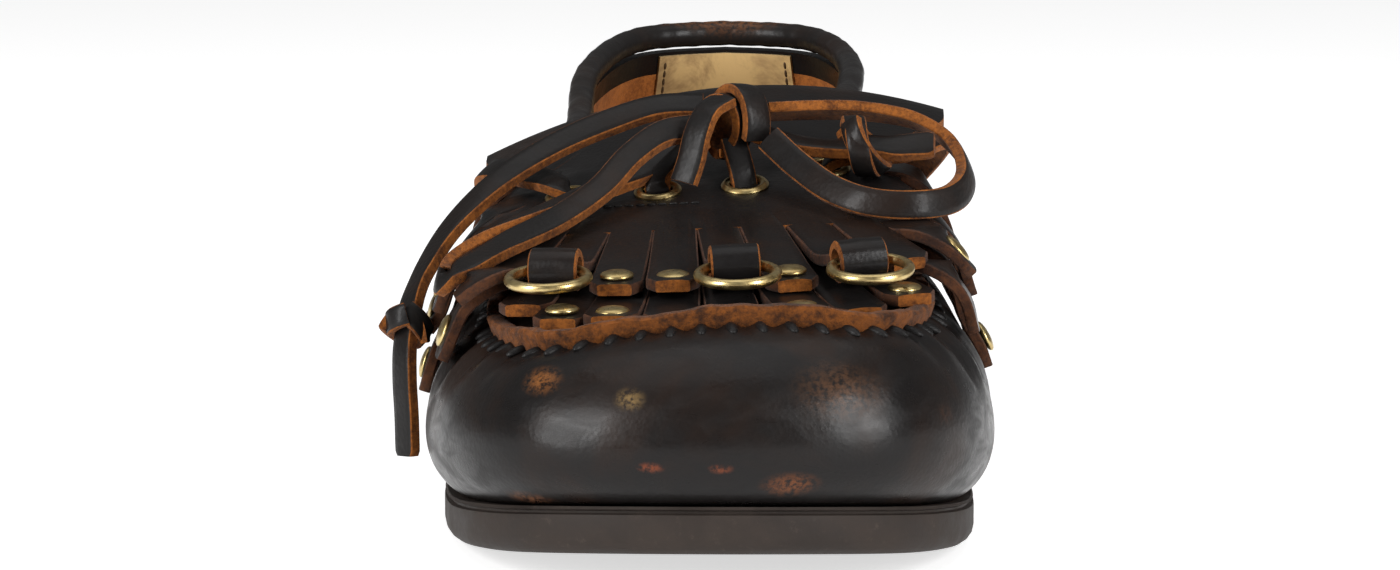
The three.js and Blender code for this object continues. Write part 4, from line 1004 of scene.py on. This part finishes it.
lip_suede = raw_leather("lip_suede", (0.15, 0.046, 0.008), (0.024, 0.0085, 0.003), 0.55, 1.5)
APRON_MATERIALS = [fringe_leather, lip_suede, flesh_side]
make_piece("apron_plate", [apron_plate(), lip()], APRON_MATERIALS, ["apron"])

# %% [markdown]
# ## The fringe
# The kiltie is one hide that comes up from inside the shoe, folds over and falls forward. Its
# front is slit into strips. A strip's middle line runs over the forepart, and those at the side
# run on down the wall. Ends are clipped at the corners.

# %% Lines of the strips
STRIP_ROOT = 5
TIP_CLIP = 3
OVER_LIP = APRON_THICK + LIP_RISE + 1
SLIT_CLOSE = 0.55  # drawn strips are this much wider, so that their slits close up

# root across and back as shares of width and length, then either the tip's shares or, for a
# strip that hangs on the wall, its turn and up
TOP_STRIPS = [
    ((-0.325, 0.4), "wall", (4.55, 0.62), "rivet"),
    ((-0.345, 0.365), "wall", (4.95, 0.6), "plain"),
    ((-0.36, 0.328), "wall", (5.22, 0.64), "rivet"),
    ((-0.358, 0.29), "wall", (5.5, 0.78), "rivet"),
    ((-0.302, 0.268), "wall", (6.02, 0.9), "plain"),
    ((-0.228, 0.258), "top", (-0.283, 0.152), "ring"),
    ((-0.149, 0.252), "top", (-0.172, 0.135), "rivet"),
    ((-0.067, 0.25), "top", (-0.063, 0.13), "rivet"),
    ((0.015, 0.25), "top", (0.05, 0.15), "ring"),
    ((0.097, 0.252), "top", (0.163, 0.136), "rivet"),
    ((0.179, 0.257), "top", (0.282, 0.156), "ring"),
    ((0.257, 0.266), "top", (0.378, 0.172), "plain"),
    ((0.325, 0.28), "wall", (5.46, 0.86), "rivet"),
    ((0.335, 0.318), "wall", (5.1, 0.7), "plain"),
    ((0.31, 0.362), "wall", (4.75, 0.62), "rivet"),
]
UNDER_STRIPS = [
    ((-0.325, 0.38), "wall", (4.75, 0.38), "plain"),
    ((-0.34, 0.335), "wall", (5.1, 0.38), "rivet"),
    ((-0.335, 0.29), "wall", (5.78, 0.68), "rivet"),
    ((-0.28, 0.262), "top", (-0.34, 0.126), "plain"),
    ((-0.212, 0.248), "top", (-0.272, 0.094), "rivet"),
    ((-0.136, 0.242), "top", (-0.176, 0.084), "rivet"),
    ((-0.058, 0.24), "top", (-0.064, 0.084), "plain"),
    ((0.02, 0.24), "top", (0.055, 0.084), "plain"),
    ((0.098, 0.243), "top", (0.184, 0.085), "rivet"),
    ((0.174, 0.249), "top", (0.29, 0.1), "plain"),
    ((0.246, 0.26), "top", (0.385, 0.135), "rivet"),
    ((0.305, 0.275), "wall", (5.7, 0.74), "plain"),
    ((0.32, 0.31), "wall", (5.3, 0.5), "rivet"),
    ((0.305, 0.352), "wall", (4.95, 0.42), "plain"),
]


def strip_knots(strip, layer, lift):
    (root_x, root_back), on, tip, _ = strip
    height = lift + KILTIE_THICK / 2
    root = np.array([root_x * SOLE_WIDTH, root_back * SOLE_LENGTH])
    if on == "wall":
        turn = tip[0] if root_x < 0 else TURNS - tip[0]
        target = wall(turn, 1)[:2] + (0, SOLE_LENGTH - HEEL_REST)
    else:
        target = np.array([tip[0] * SOLE_WIDTH, tip[1] * SOLE_LENGTH])
    shares = [0, 0.35, 0.7] if on == "wall" else [0, 0.25, 0.5, 0.75, 1]
    shares = np.array([-STRIP_ROOT / np.linalg.norm(target - root), *shares])
    places = root + (target - root) * shares[:, None]
    knots = list(on_layer(layer, places[:, 0], places[:, 1], height))
    if on == "wall":
        ups = [up for up in (1, 0.86, 0.72, 0.58, 0.44, 0.3) if up > tip[1] + 0.06] + [tip[1]]
        knots += [on_wall(turn, up, height + OVER_LIP * smoothstep(up, 0.72, 1)) for up in ups]
    return knots


def strip_line(strip, layer, lift, count=40):
    return smooth_line(strip_knots(strip, layer, lift), count)


for tier, strips in (("top", TOP_STRIPS), ("under", UNDER_STRIPS)):
    lift = TOP_LIFT if tier == "top" else UNDER_LIFT
    lengths = [strip_line(strip, tier, lift, 2)[1] for strip in strips]
    print(tier, len(strips), "strips of", [round(f(lengths)) for f in (min, max)], "mm")

# %% [markdown]
# ### Shape of a strip
# A strip is a ribbon along its line: thick enough to show its cut sides, clipped at its tip,
# with a slight curl that differs from one strip to the next.

# %% Shape of a strip
def strip_shape(strip, layer, lift, width, seed):
    """A fine strip with clipped corners, a slight cup across it and a curl towards its tip."""
    _, length = strip_line(strip, layer, lift, 2)
    at = np.r_[np.linspace(0, length - TIP_CLIP, 34), length - TIP_CLIP / 2, length]
    line = smooth_line(strip_knots(strip, layer, lift), 400)[0]
    line = np.column_stack([np.interp(at / length, np.linspace(0, 1, 400), c) for c in line.T])
    root = np.clip(at / (STRIP_ROOT + 3), 0, 1)
    wide = 0.8 + 0.2 * np.clip(at / (length - TIP_CLIP), 0, 1)
    wide[-2:] = (0.84, 0.64)
    curl = 0.5 * np.sin(seed * 2.4) * smoothstep(at, length * 0.5, length)
    line[:, :3] += line[:, 3:6] * (curl - 0.12 * (1 - root))[:, None]
    crown = 0.16 + 0.08 * math.sin(seed)
    return ribbon(line, width, KILTIE_THICK, crown=crown, bevel=0.3, taper=wide, side=SLIT)


# %% [markdown]
# ### Loops that hold the rings
# Three strips end in a loop: the strip's end is turned back on itself round a ring. Its strip
# runs straight into the loop's back.

# %% Loops that hold the rings
LOOP_HEIGHT = TOP_LIFT + KILTIE_THICK + 0.7 + RING_WIRE / 2
ring_strips = [s for s in TOP_STRIPS if s[3] == "ring"]


def loop_frame(strip):
    line, _ = strip_line(strip, "top", LOOP_HEIGHT - KILTIE_THICK / 2, 400)
    return [column[-1] for column in frames_of(line)]


def loop_shape(frame_of_loop, count=36):
    """The end of a strip turned back on itself round the ring: a short leather tube."""
    origin, across, forward, normal = frame_of_loop
    angle = np.linspace(0, 2 * np.pi, count, endpoint=False)[:, None]
    ray = forward * np.cos(angle) + normal * np.sin(angle)
    outer, half, soft = LOOP_BORE + LOOP_WALL, LOOP_WIDTH / 2, 0.3
    rows = [(LOOP_BORE, -half, EDGE), (outer - soft, -half, EDGE), (outer, soft - half, FACE),
            (outer + 0.12, 0, FACE), (outer, half - soft, EDGE), (outer - soft, half, EDGE),
            (LOOP_BORE, half, FLESH)]
    points = [origin + ray * r + across * w for r, w, _ in rows]
    return sweep(np.stack(points, 1), [m for _, _, m in rows], along=True)


def ring_strip_shape(strip, frame_of_loop):
    knots, _ = smooth_line(strip_knots(strip, "top", TOP_LIFT), 400)
    origin, _, forward, normal = frame_of_loop
    seat = origin - forward * (LOOP_BORE + LOOP_WALL / 2) - normal * 0.4
    rows = [knots[int(399 * share)] for share in (0, 0.22, 0.44, 0.66)] + [np.r_[seat, normal]]
    line, _ = smooth_line(rows, 30)
    line[:, :3] -= line[:, 3:6] * np.linspace(0.15, 0, 30)[:, None]
    wide = 0.82 + 0.18 * np.linspace(0, 1, 30) ** 0.6
    return ribbon(line, LOOP_WIDTH, KILTIE_THICK, crown=0.15, bevel=0.3, taper=wide, side=SLIT)


# %% [markdown]
# The flap, the fold and the ply that goes down into the shoe are one sheet: forward along the
# top, round a half circle and forward again below, narrowing to the tongue.

# %% Flap and fold
FOLD_RADIUS = (TOP_LIFT + APRON_THICK) / 2


def flap_sheet(points=44):
    """Rows from the slit front of the flap, back round the fold and down to the tongue."""
    flap_q = np.linspace(FLAP_FRONT - 1, FLAP_FOLD, 34)
    half = FLAP_HALF - (FLAP_HALF - 0.37 * SOLE_WIDTH) * smoothstep(FLAP_FOLD - flap_q, 4, 22)
    middle = TOP_LIFT + KILTIE_THICK / 2 - FOLD_RADIUS
    bend = np.linspace(np.pi / 2, -np.pi / 2, 24)[1:]
    tongue_q = np.linspace(FLAP_FOLD, APRON_END + GAP + 0.5, 6)[1:]
    q = np.r_[flap_q, FLAP_FOLD + np.cos(bend) * FOLD_RADIUS, tongue_q]
    base_q = np.r_[flap_q, np.full(len(bend), FLAP_FOLD), tongue_q]
    lift = np.r_[np.full(34, middle + FOLD_RADIUS), middle + np.sin(bend) * FOLD_RADIUS,
                 np.full(5, middle - FOLD_RADIUS)]
    narrow = smoothstep(-np.sin(bend), -0.2, 0.9)
    half = np.r_[half, FLAP_HALF + (TONGUE_HALF - FLAP_HALF) * narrow, np.full(5, TONGUE_HALF)]
    out_q = np.r_[0 * flap_q, np.cos(bend), 0 * tongue_q]
    out_z = np.r_[0 * flap_q + 1, np.sin(bend), 0 * tongue_q - 1]
    share = np.linspace(-1, 1, points)[None, :]
    x = half[:, None] * share

    def offset(side):
        reach = side * KILTIE_THICK / 2
        z = forepart("top", x, base_q[:, None], lift[:, None] + reach * out_z[:, None])
        return point(x, (q + reach * out_q)[:, None] + 0 * x, z)

    return sheet(offset(1), offset(-1))


flat_strips = [s for s in TOP_STRIPS if s[3] != "ring"]
loop_frames = [loop_frame(s) for s in ring_strips]
drawn_width = STRIP_WIDTH + SLIT_CLOSE
top_shapes = [flap_sheet()]
top_shapes += [strip_shape(s, "top", TOP_LIFT, drawn_width, i) for i, s in enumerate(flat_strips)]
top_shapes += [ring_strip_shape(s, f) for s, f in zip(ring_strips, loop_frames)]
top_shapes += [loop_shape(f) for f in loop_frames]
KILTIE_MATERIALS = [fringe_leather, raw_edge, flesh_side, shaded_slit_edge]
make_piece("fringe_top", top_shapes, KILTIE_MATERIALS, ["kiltie_top"])

# %% [markdown]
# ### Lower tier
# A second, shorter hide lies between the flap and the apron. Its strips show in the gaps of the
# upper ones and below them.

# %% Lower tier
def under_sheet():
    q = np.linspace(0.24 * SOLE_LENGTH, 0.405 * SOLE_LENGTH, 20)[:, None]
    x = np.linspace(-0.31, 0.31, 30)[None, :] * SOLE_WIDTH
    return sheet(point(x, q, forepart("under", x, q, UNDER_LIFT + KILTIE_THICK)),
                 point(x, q, forepart("under", x, q, UNDER_LIFT)))


drawn_width = UNDER_STRIP_WIDTH + SLIT_CLOSE
under_shapes = [under_sheet()]
under_shapes += [
    strip_shape(s, "under", UNDER_LIFT, drawn_width, i + 0.5) for i, s in enumerate(UNDER_STRIPS)
]
make_piece("fringe_under", under_shapes, KILTIE_MATERIALS, ["kiltie_under"])

# %% [markdown]
# ## Brass rings
# Each ring is round wire bent to a circle. It hangs in its loop and rides on its own body, so it
# swings when the CAD frame does.

# %% Rings
RING_BODIES = ["ring_lateral", "ring_middle", "ring_medial"]
RING_MIDDLE = (RING_OUTER - RING_WIRE) / 2
RING_SAG = RING_MIDDLE - math.sqrt(RING_MIDDLE**2 - (LOOP_WIDTH / 2) ** 2)
for number, (loop, body) in enumerate(zip(loop_frames, RING_BODIES), 1):
    origin, across, forward, normal = loop
    centre = origin + forward * (RING_MIDDLE - RING_SAG / 2)
    angle = np.linspace(0, 2 * np.pi, 72, endpoint=False)[:, None]
    ray = across * np.cos(angle) + forward * np.sin(angle)
    wire = np.linspace(0, 2 * np.pi, 16, endpoint=False)
    rows = [
        centre + ray * (RING_MIDDLE + math.cos(a) * RING_WIRE / 2)
        + normal * math.sin(a) * RING_WIRE / 2
        for a in wire
    ]
    ring_shape = sweep(np.stack(rows, 1), along=True)
    make_piece(f"brass_ring_{number}", [ring_shape], [brass_metal], [f"ring_{number}"],
               body=body)

# %% [markdown]
# ## Rivets and stitches by Geometry Nodes
# Rivets and hand stitches repeat along the strips and the seam, so one node tree places them.
# It puts a small rounded body on every point of a mesh, turned by two vectors stored on the
# points, and its size and finish are inputs of the tree.

# %% A tree that sets a body on each point
def studs_tree():
    tree = bpy.data.node_groups.new("studs", "GeometryNodeTree")
    tree.interface.new_socket("Geometry", in_out="INPUT", socket_type="NodeSocketGeometry")
    tree.interface.new_socket("Geometry", in_out="OUTPUT", socket_type="NodeSocketGeometry")
    for size in ("Length", "Width", "Height"):
        tree.interface.new_socket(size, in_out="INPUT", socket_type="NodeSocketFloat")
    tree.interface.new_socket("Finish", in_out="INPUT", socket_type="NodeSocketMaterial")
    add = tree.nodes.new
    source, result = add("NodeGroupInput"), add("NodeGroupOutput")
    ball = add("GeometryNodeMeshUVSphere")
    ball.inputs["Segments"].default_value = 20
    ball.inputs["Rings"].default_value = 12
    ball.inputs["Radius"].default_value = 0.5
    size, shaped = add("ShaderNodeCombineXYZ"), add("GeometryNodeTransform")
    forward, out = add("GeometryNodeInputNamedAttribute"), add("GeometryNodeInputNamedAttribute")
    for attribute, name in ((forward, "forward"), (out, "out")):
        attribute.data_type = "FLOAT_VECTOR"
        attribute.inputs["Name"].default_value = name
    turned = add("FunctionNodeAxesToRotation")
    turned.primary_axis, turned.secondary_axis = "Z", "X"
    placed, smooth = add("GeometryNodeInstanceOnPoints"), add("GeometryNodeSetShadeSmooth")
    real, painted = add("GeometryNodeRealizeInstances"), add("GeometryNodeSetMaterial")
    links = [
        (source.outputs["Length"], size.inputs["X"]),
        (source.outputs["Width"], size.inputs["Y"]),
        (source.outputs["Height"], size.inputs["Z"]),
        (ball.outputs["Mesh"], shaped.inputs["Geometry"]),
        (size.outputs[0], shaped.inputs["Scale"]),
        (source.outputs["Geometry"], placed.inputs["Points"]),
        (shaped.outputs[0], placed.inputs["Instance"]),
        (out.outputs["Attribute"], turned.inputs[0]),
        (forward.outputs["Attribute"], turned.inputs[1]),
        (turned.outputs[0], placed.inputs["Rotation"]),
        (placed.outputs[0], smooth.inputs[0]),
        (smooth.outputs[0], real.inputs[0]),
        (real.outputs[0], painted.inputs["Geometry"]),
        (source.outputs["Finish"], painted.inputs["Material"]),
        (painted.outputs[0], result.inputs["Geometry"]),
    ]
    for a, b in links:
        tree.links.new(a, b)
    return tree


STUDS = studs_tree()
print("studs tree has", len(STUDS.nodes), "nodes")

# %% [markdown]
# ### From the tree to a piece
# `studs` stores the points, sets the tree's inputs, and turns the result into a plain mesh.

# %% From the tree to a piece
def studs(name, places, forward, out, sizes, finish, nodes=()):
    """A body of length, width and height millimetres on each place."""
    mesh = bpy.data.meshes.new(name + "_points")
    mesh.from_pydata((np.asarray(places) * MM).tolist(), [], [])
    for attribute, values in (("forward", forward), ("out", out)):
        stored = mesh.attributes.new(attribute, "FLOAT_VECTOR", "POINT")
        stored.data.foreach_set("vector", np.asarray(values, np.float32).ravel())
    holder = bpy.data.objects.new(name + "_points", mesh)
    bpy.context.scene.collection.objects.link(holder)
    modifier = holder.modifiers.new("studs", "NODES")
    modifier.node_group = STUDS
    sockets = {s.name: s.identifier for s in STUDS.interface.items_tree if s.in_out == "INPUT"}
    for key, value in zip(("Length", "Width", "Height"), sizes):
        modifier[sockets[key]] = value * MM
    modifier[sockets["Finish"]] = finish
    depsgraph = bpy.context.evaluated_depsgraph_get()
    made = bpy.data.meshes.new_from_object(holder.evaluated_get(depsgraph))
    made.name = name
    bpy.data.objects.remove(holder)
    piece = bpy.data.objects.new(name, made)
    bpy.context.scene.collection.objects.link(piece)
    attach(piece, "shoe")
    if nodes:
        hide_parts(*nodes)
    print(name, len(places), "placed,", len(made.polygons), "faces")


# %% [markdown]
# ### Rivets
# A domed brass rivet sits a little way back from the tip of every other strip or so. Its place
# and direction are read from the strip's own line.

# %% Rivets
RIVET_BACK = 5  # from the strip's tip
RIVET_SIZE = (2.1 * RIVET_RADIUS, 2.1 * RIVET_RADIUS, 1.5 * RIVET_RISE)


def rivet_rows(strips, layer, lift):
    rows = []
    for strip in (s for s in strips if s[3] == "rivet"):
        line, length = strip_line(strip, layer, lift, 400)
        at = int(399 * (1 - RIVET_BACK / length))
        origin, _, forward, normal = [column[at] for column in frames_of(line)]
        rows.append((origin + normal * (KILTIE_THICK / 2 + 0.15), forward, normal))
    return rows


rivet_places = rivet_rows(TOP_STRIPS, "top", TOP_LIFT)
rivet_places += rivet_rows(UNDER_STRIPS, "under", UNDER_LIFT)
where, forward, out = (np.array(column) for column in zip(*rivet_places))
where = where + out * 0.12
studs("rivets", where, forward, out, RIVET_SIZE, brass_metal, cad_nodes("rivet_"))

# %% [markdown]
# The apron is sewn on by hand with thick waxed thread. The stitches stand upright below the lip,
# a little over five millimetres apart, and lean slightly with the pull.

# %% Hand stitches
HAND_STITCH = (4.8, 2.1, 1.7)
SEAM_REST = 4  # left unsewn at the seam's end
STITCH_TOP, STITCH_FOOT, STITCH_LEAN = 0.995, 0.9, 0.008
black_thread = waxed_thread("black_thread", (0.008, 0.007, 0.007))
count = int((seam_run[-1] - SEAM_REST) / STITCH_PITCH)
stitch_run = (np.arange(count) + 0.5) * STITCH_PITCH
stitch_turn = np.interp(stitch_run, seam_run, seam_turns)
high = wall(stitch_turn, STITCH_TOP)
low = wall(stitch_turn + STITCH_LEAN, STITCH_FOOT)
out = wall_normal(stitch_turn, 0.95)
where = (high + low) / 2 + out * 0.1
upright = unit(high - low)
studs("seam_stitches", where, upright, out, HAND_STITCH, black_thread)

# %% [markdown]
# A short dark seam crosses the flap's outer half in front of the inner eyelets, where the
# tongue's ply is sewn on. The tan patch inside the heel is sewn down along both its edges.

# %% Seams of the flap and the heel patch
FINE_STITCH = (1.7, 0.6, 0.5)
flap_x = np.arange(-24, -1, 2.1)
flap_q = SOLE_LENGTH * (0.291 + 0.00001 * flap_x**2)
rows = on_layer("top", flap_x, flap_q, TOP_LIFT + KILTIE_THICK + 0.1)
where, out = rows[:, :3], rows[:, 3:]
along_flap = unit(np.gradient(where, axis=0))
studs("flap_seam", where, along_flap, out, FINE_STITCH, black_thread)

brown_thread = waxed_thread("brown_thread", (0.1, 0.055, 0.025))
patch_ups = np.linspace(0.3, 0.94, 18)
places, lines, faces = [], [], []
for edge_turn in (-PATCH_HALF + 0.07, PATCH_HALF - 0.07):
    inward = -wall_normal(edge_turn, patch_ups)
    places.append(wall(edge_turn, patch_ups) + inward * (LEATHER + 0.85))
    lines.append(unit(np.gradient(places[-1], axis=0)))
    faces.append(inward)
where, along, out = (np.concatenate(part) for part in (places, lines, faces))
studs("patch_stitches", where, along, out, FINE_STITCH, brown_thread)

# %% [markdown]
# ## Eyelets
# A brass eyelet is a rolled rim with a short barrel. The same profile is turned round each
# eyelet's axis, and a dark disc of painted shade inside stands for the hole's depth.

# %% Eyelets
FLAP_EYELETS = [(-0.28, 0.322), (-0.105, 0.314), (0.065, 0.315), (0.225, 0.34)]
QUARTER_EYELETS = [(4.2, 0.8), (3.62, 0.87), (2.9, 0.88)]
FORWARD, UPWARD = np.array([0, -1.0, 0]), np.array([0, 0, 1.0])
EYELET_BARREL = 1.3
HOLE_LIFT = 0.12


def side_turn(side, turn):
    """The same place on the outer or the inner side of the outline."""
    return turn if side == "lateral" else TURNS - turn


def axes_at(row, towards):
    normal = row[3:6]
    forward = unit(towards - normal * np.dot(towards, normal))
    return row[:3], np.cross(forward, normal), forward, normal


def flap_row(x, back):
    return on_layer("top", x * SOLE_WIDTH, back * SOLE_LENGTH, TOP_LIFT + KILTIE_THICK)


flap_axes = [axes_at(flap_row(*place), FORWARD) for place in FLAP_EYELETS]
quarter_axes = {
    side: [axes_at(on_wall(side_turn(side, t), up, 0), UPWARD) for t, up in QUARTER_EYELETS]
    for side in ("lateral", "medial")
}
eyelet_rows = [(axes, FLAP_EYELET) for axes in flap_axes]
eyelet_rows += [(axes, QUARTER_EYELET) for side in quarter_axes.values() for axes in side]


def turned(axes, profile, count=40):
    """A profile of (radius, height) carried round an axis, closed on itself."""
    origin, across, forward, normal = axes
    angle = np.linspace(0, 2 * np.pi, count, endpoint=False)[:, None]
    ray = across * np.cos(angle) + forward * np.sin(angle)
    rows = [origin + ray * r + normal * h for r, h in profile]
    return sweep(np.stack(rows, 1), along=True)


def eyelet(axes, radius):
    bore, top = radius - EYELET_BAND, EYELET_RISE
    profile = [
        (bore, -EYELET_BARREL), (bore, top * 0.5), (bore + 0.3, top * 0.92),
        (bore + 0.85, top + 0.08), (radius - 0.35, top * 0.85), (radius, top * 0.4),
        (radius - 0.05, 0.02), (bore + 0.5, 0.02), (bore + 0.5, -EYELET_BARREL),
    ]
    return turned(axes, profile)


eyelets = [eyelet(*row) for row in eyelet_rows]
make_piece("eyelets", eyelets, [brass_metal], cad_nodes("eyelet_"))

shadow = Recipe("shadow_black", Roughness=0.95, Specular_IOR_Level=0.1)
shadow.colour(shadow.mix(shadow.noise(2), (0.003, 0.0025, 0.0025), (0.006, 0.004, 0.003)))


# a near-black disc of painted shade in each eyelet's bore
def hole_shade_disc(axes, radius):
    wide, low = radius - EYELET_BAND + 0.3, HOLE_LIFT - 0.1
    return turned(axes, [(0.02, HOLE_LIFT), (wide, HOLE_LIFT), (wide, low), (0.02, low)], 24)


hole_shades = [hole_shade_disc(*row) for row in eyelet_rows]
make_piece("eyelet_hole_shades", hole_shades, [shadow.material])

# %% [markdown]
# ## Lace through the eyelets
# The lace comes up out of each outer flap eyelet, crosses the flap's side and dives into the
# first quarter eyelet. Further back it shows again outside the collar, between the second
# eyelet and the third.

# %% Fixed strands
LACE_LIFT = EYELET_RISE + LACE_THICK / 2 + 0.4
SIDE_OVER = [(0.36, 0.345, 5.2), (0.45, 0.385, 5)]


def raised(axes, height, shift=(0, 0)):
    origin, across, forward, normal = axes
    return np.r_[origin + normal * height + across * shift[0] + forward * shift[1], normal]


def strand(name, rows, nodes):
    line, _ = smooth_line(rows, int(smooth_line(rows, 2)[1] / 0.8))
    taper = np.ones(len(line))
    taper[:3], taper[-3:] = (0.6, 0.75, 0.9), (0.9, 0.75, 0.6)
    shape = ribbon(line, LACE_WIDTH, LACE_THICK * 0.9, taper=taper)
    make_piece(name, [shape], LACE_MATERIALS, nodes)


for side, sign, flap in (("lateral", -1, flap_axes[0]), ("medial", 1, flap_axes[3])):
    first, second, third = quarter_axes[side]
    rows = [raised(flap, -0.6, (sign * 0.6, 0)), raised(flap, LACE_LIFT * 0.8, (-sign * 1.2, 0))]
    for across, back, lift in SIDE_OVER:
        row = on_layer("top", sign * across * SOLE_WIDTH, back * SOLE_LENGTH, TOP_LIFT + lift)
        rows.append(row + (0, 0, 0, sign * 0.5, 0, 0))
    rows += [raised(first, LACE_LIFT + 1.5), raised(first, -0.3)]
    strand(f"strand_side_{side}", rows, [f"lace_side_{side}"])
    (from_turn, from_up), (to_turn, to_up) = QUARTER_EYELETS[1:]
    rows = [raised(second, -0.6)]
    for share in np.linspace(0.08, 0.92, 5):
        at = side_turn(side, from_turn + (to_turn - from_turn) * share)
        rows.append(on_wall(at, from_up + (to_up - from_up) * share, LACE_LIFT))
    strand(f"strand_collar_{side}", rows + [raised(third, -0.6)], [f"lace_collar_{side}"])

# %% [markdown]
# ## The bow's knot
# The knot is a hoop of the thong over the crossing, a second turn inside it, a short fall to
# the flap and the two strands that come up out of the inner flap eyelets.

# %% Bow knot
WRAP_THICK = 1.8
WRAP_UP = (0, 0.1, 1)
HOOP = ((4.6, -159.6, 73.6), (-0.82, -0.5, 0.1), WRAP_UP, (5.6, 6.4), -30, 285, 3.0, 44)
INNER_TURN = ((2.4, -160.6, 73.4), (-0.5, -0.8, 0.1), WRAP_UP, (3.6, 4.8), -70, 200, 3.5, 36)
FALL = [
    (2.6, -162.6, 78.2, -0.4, -0.6, 0.7),
    (-0.6, -166, 76.4, -0.55, -0.75, 0.4),
    (-2.6, -168.4, 72.4, -0.5, -0.85, 0.1),
    (-3.8, -169.8, 67.4, -0.45, -0.88, 0.1),
    (-5.2, -170.8, 63.2, -0.4, -0.85, 0.3),
]
knot_lines = [turns_round(*HOOP), turns_round(*INNER_TURN), smooth_line(FALL, 30)[0]]
knot_shapes = [ribbon(line, LACE_WIDTH, WRAP_THICK) for line in knot_lines]
for axes, side in ((flap_axes[1], -1), (flap_axes[2], 1)):
    rows = [raised(axes, -0.6), raised(axes, LACE_LIFT * 0.9, (side * 0.4, -1.2))]
    rows.append(np.array([1 + side * 3, -161.5, 70.5, 0, -0.6, 0.8]))
    knot_shapes.append(ribbon(smooth_line(rows, 24)[0], LACE_WIDTH * 0.9, 1.7))
make_piece("bow_wraps", knot_shapes, LACE_MATERIALS, ["bow_knot"])

# %% [markdown]
# ## Floor and light
# A plain pale floor and soft light from large panels, as in a product studio: a weak one above
# and a tall one in front on each side.

# %% Floor and light
FLOOR_GLOW = 0.62
WORLD_LIGHT = 0.16
SIDE_PANEL = (0.32, 0.95)
floor_mesh = bpy.data.meshes.new("floor")
reach = 6.0
corners = [(-reach, -reach, 0), (reach, -reach, 0), (reach, reach, 0), (-reach, reach, 0)]
floor_mesh.from_pydata(corners, [], [(0, 1, 2, 3)])
floor = bpy.data.objects.new("floor", floor_mesh)
bpy.context.scene.collection.objects.link(floor)
paper = Recipe("paper", Roughness=0.7, Base_Color=(0.8, 0.8, 0.8, 1),
               Emission_Color=(1, 1, 1, 1), Emission_Strength=FLOOR_GLOW)
floor_mesh.materials.append(paper.material)

world = bpy.data.worlds.new("studio")
world.use_nodes = True
background = world.node_tree.nodes["Background"]
background.inputs["Color"].default_value = (1, 1, 1, 1)
background.inputs["Strength"].default_value = WORLD_LIGHT
bpy.context.scene.world = world
bpy.context.scene.view_settings.view_transform = "Standard"


def panel(name, place, aim, size, power):
    light = bpy.data.lights.new(name, "AREA")
    light.shape = "RECTANGLE"
    light.size, light.size_y = size
    light.energy = power
    made = bpy.data.objects.new(name, light)
    made.location = place
    made.rotation_mode = "QUATERNION"
    made.rotation_quaternion = (Vector(aim) - Vector(place)).to_track_quat("-Z", "Y")
    bpy.context.scene.collection.objects.link(made)


panel("top_panel", (0, -0.1, 1.3), (0, -0.1, 0), (1.3, 1.0), 5)
panel("left_panel", (-0.95, -1.0, 0.55), (0, -0.2, 0.04), SIDE_PANEL, 18)
panel("right_panel", (0.95, -1.0, 0.55), (0, -0.2, 0.04), SIDE_PANEL, 17)
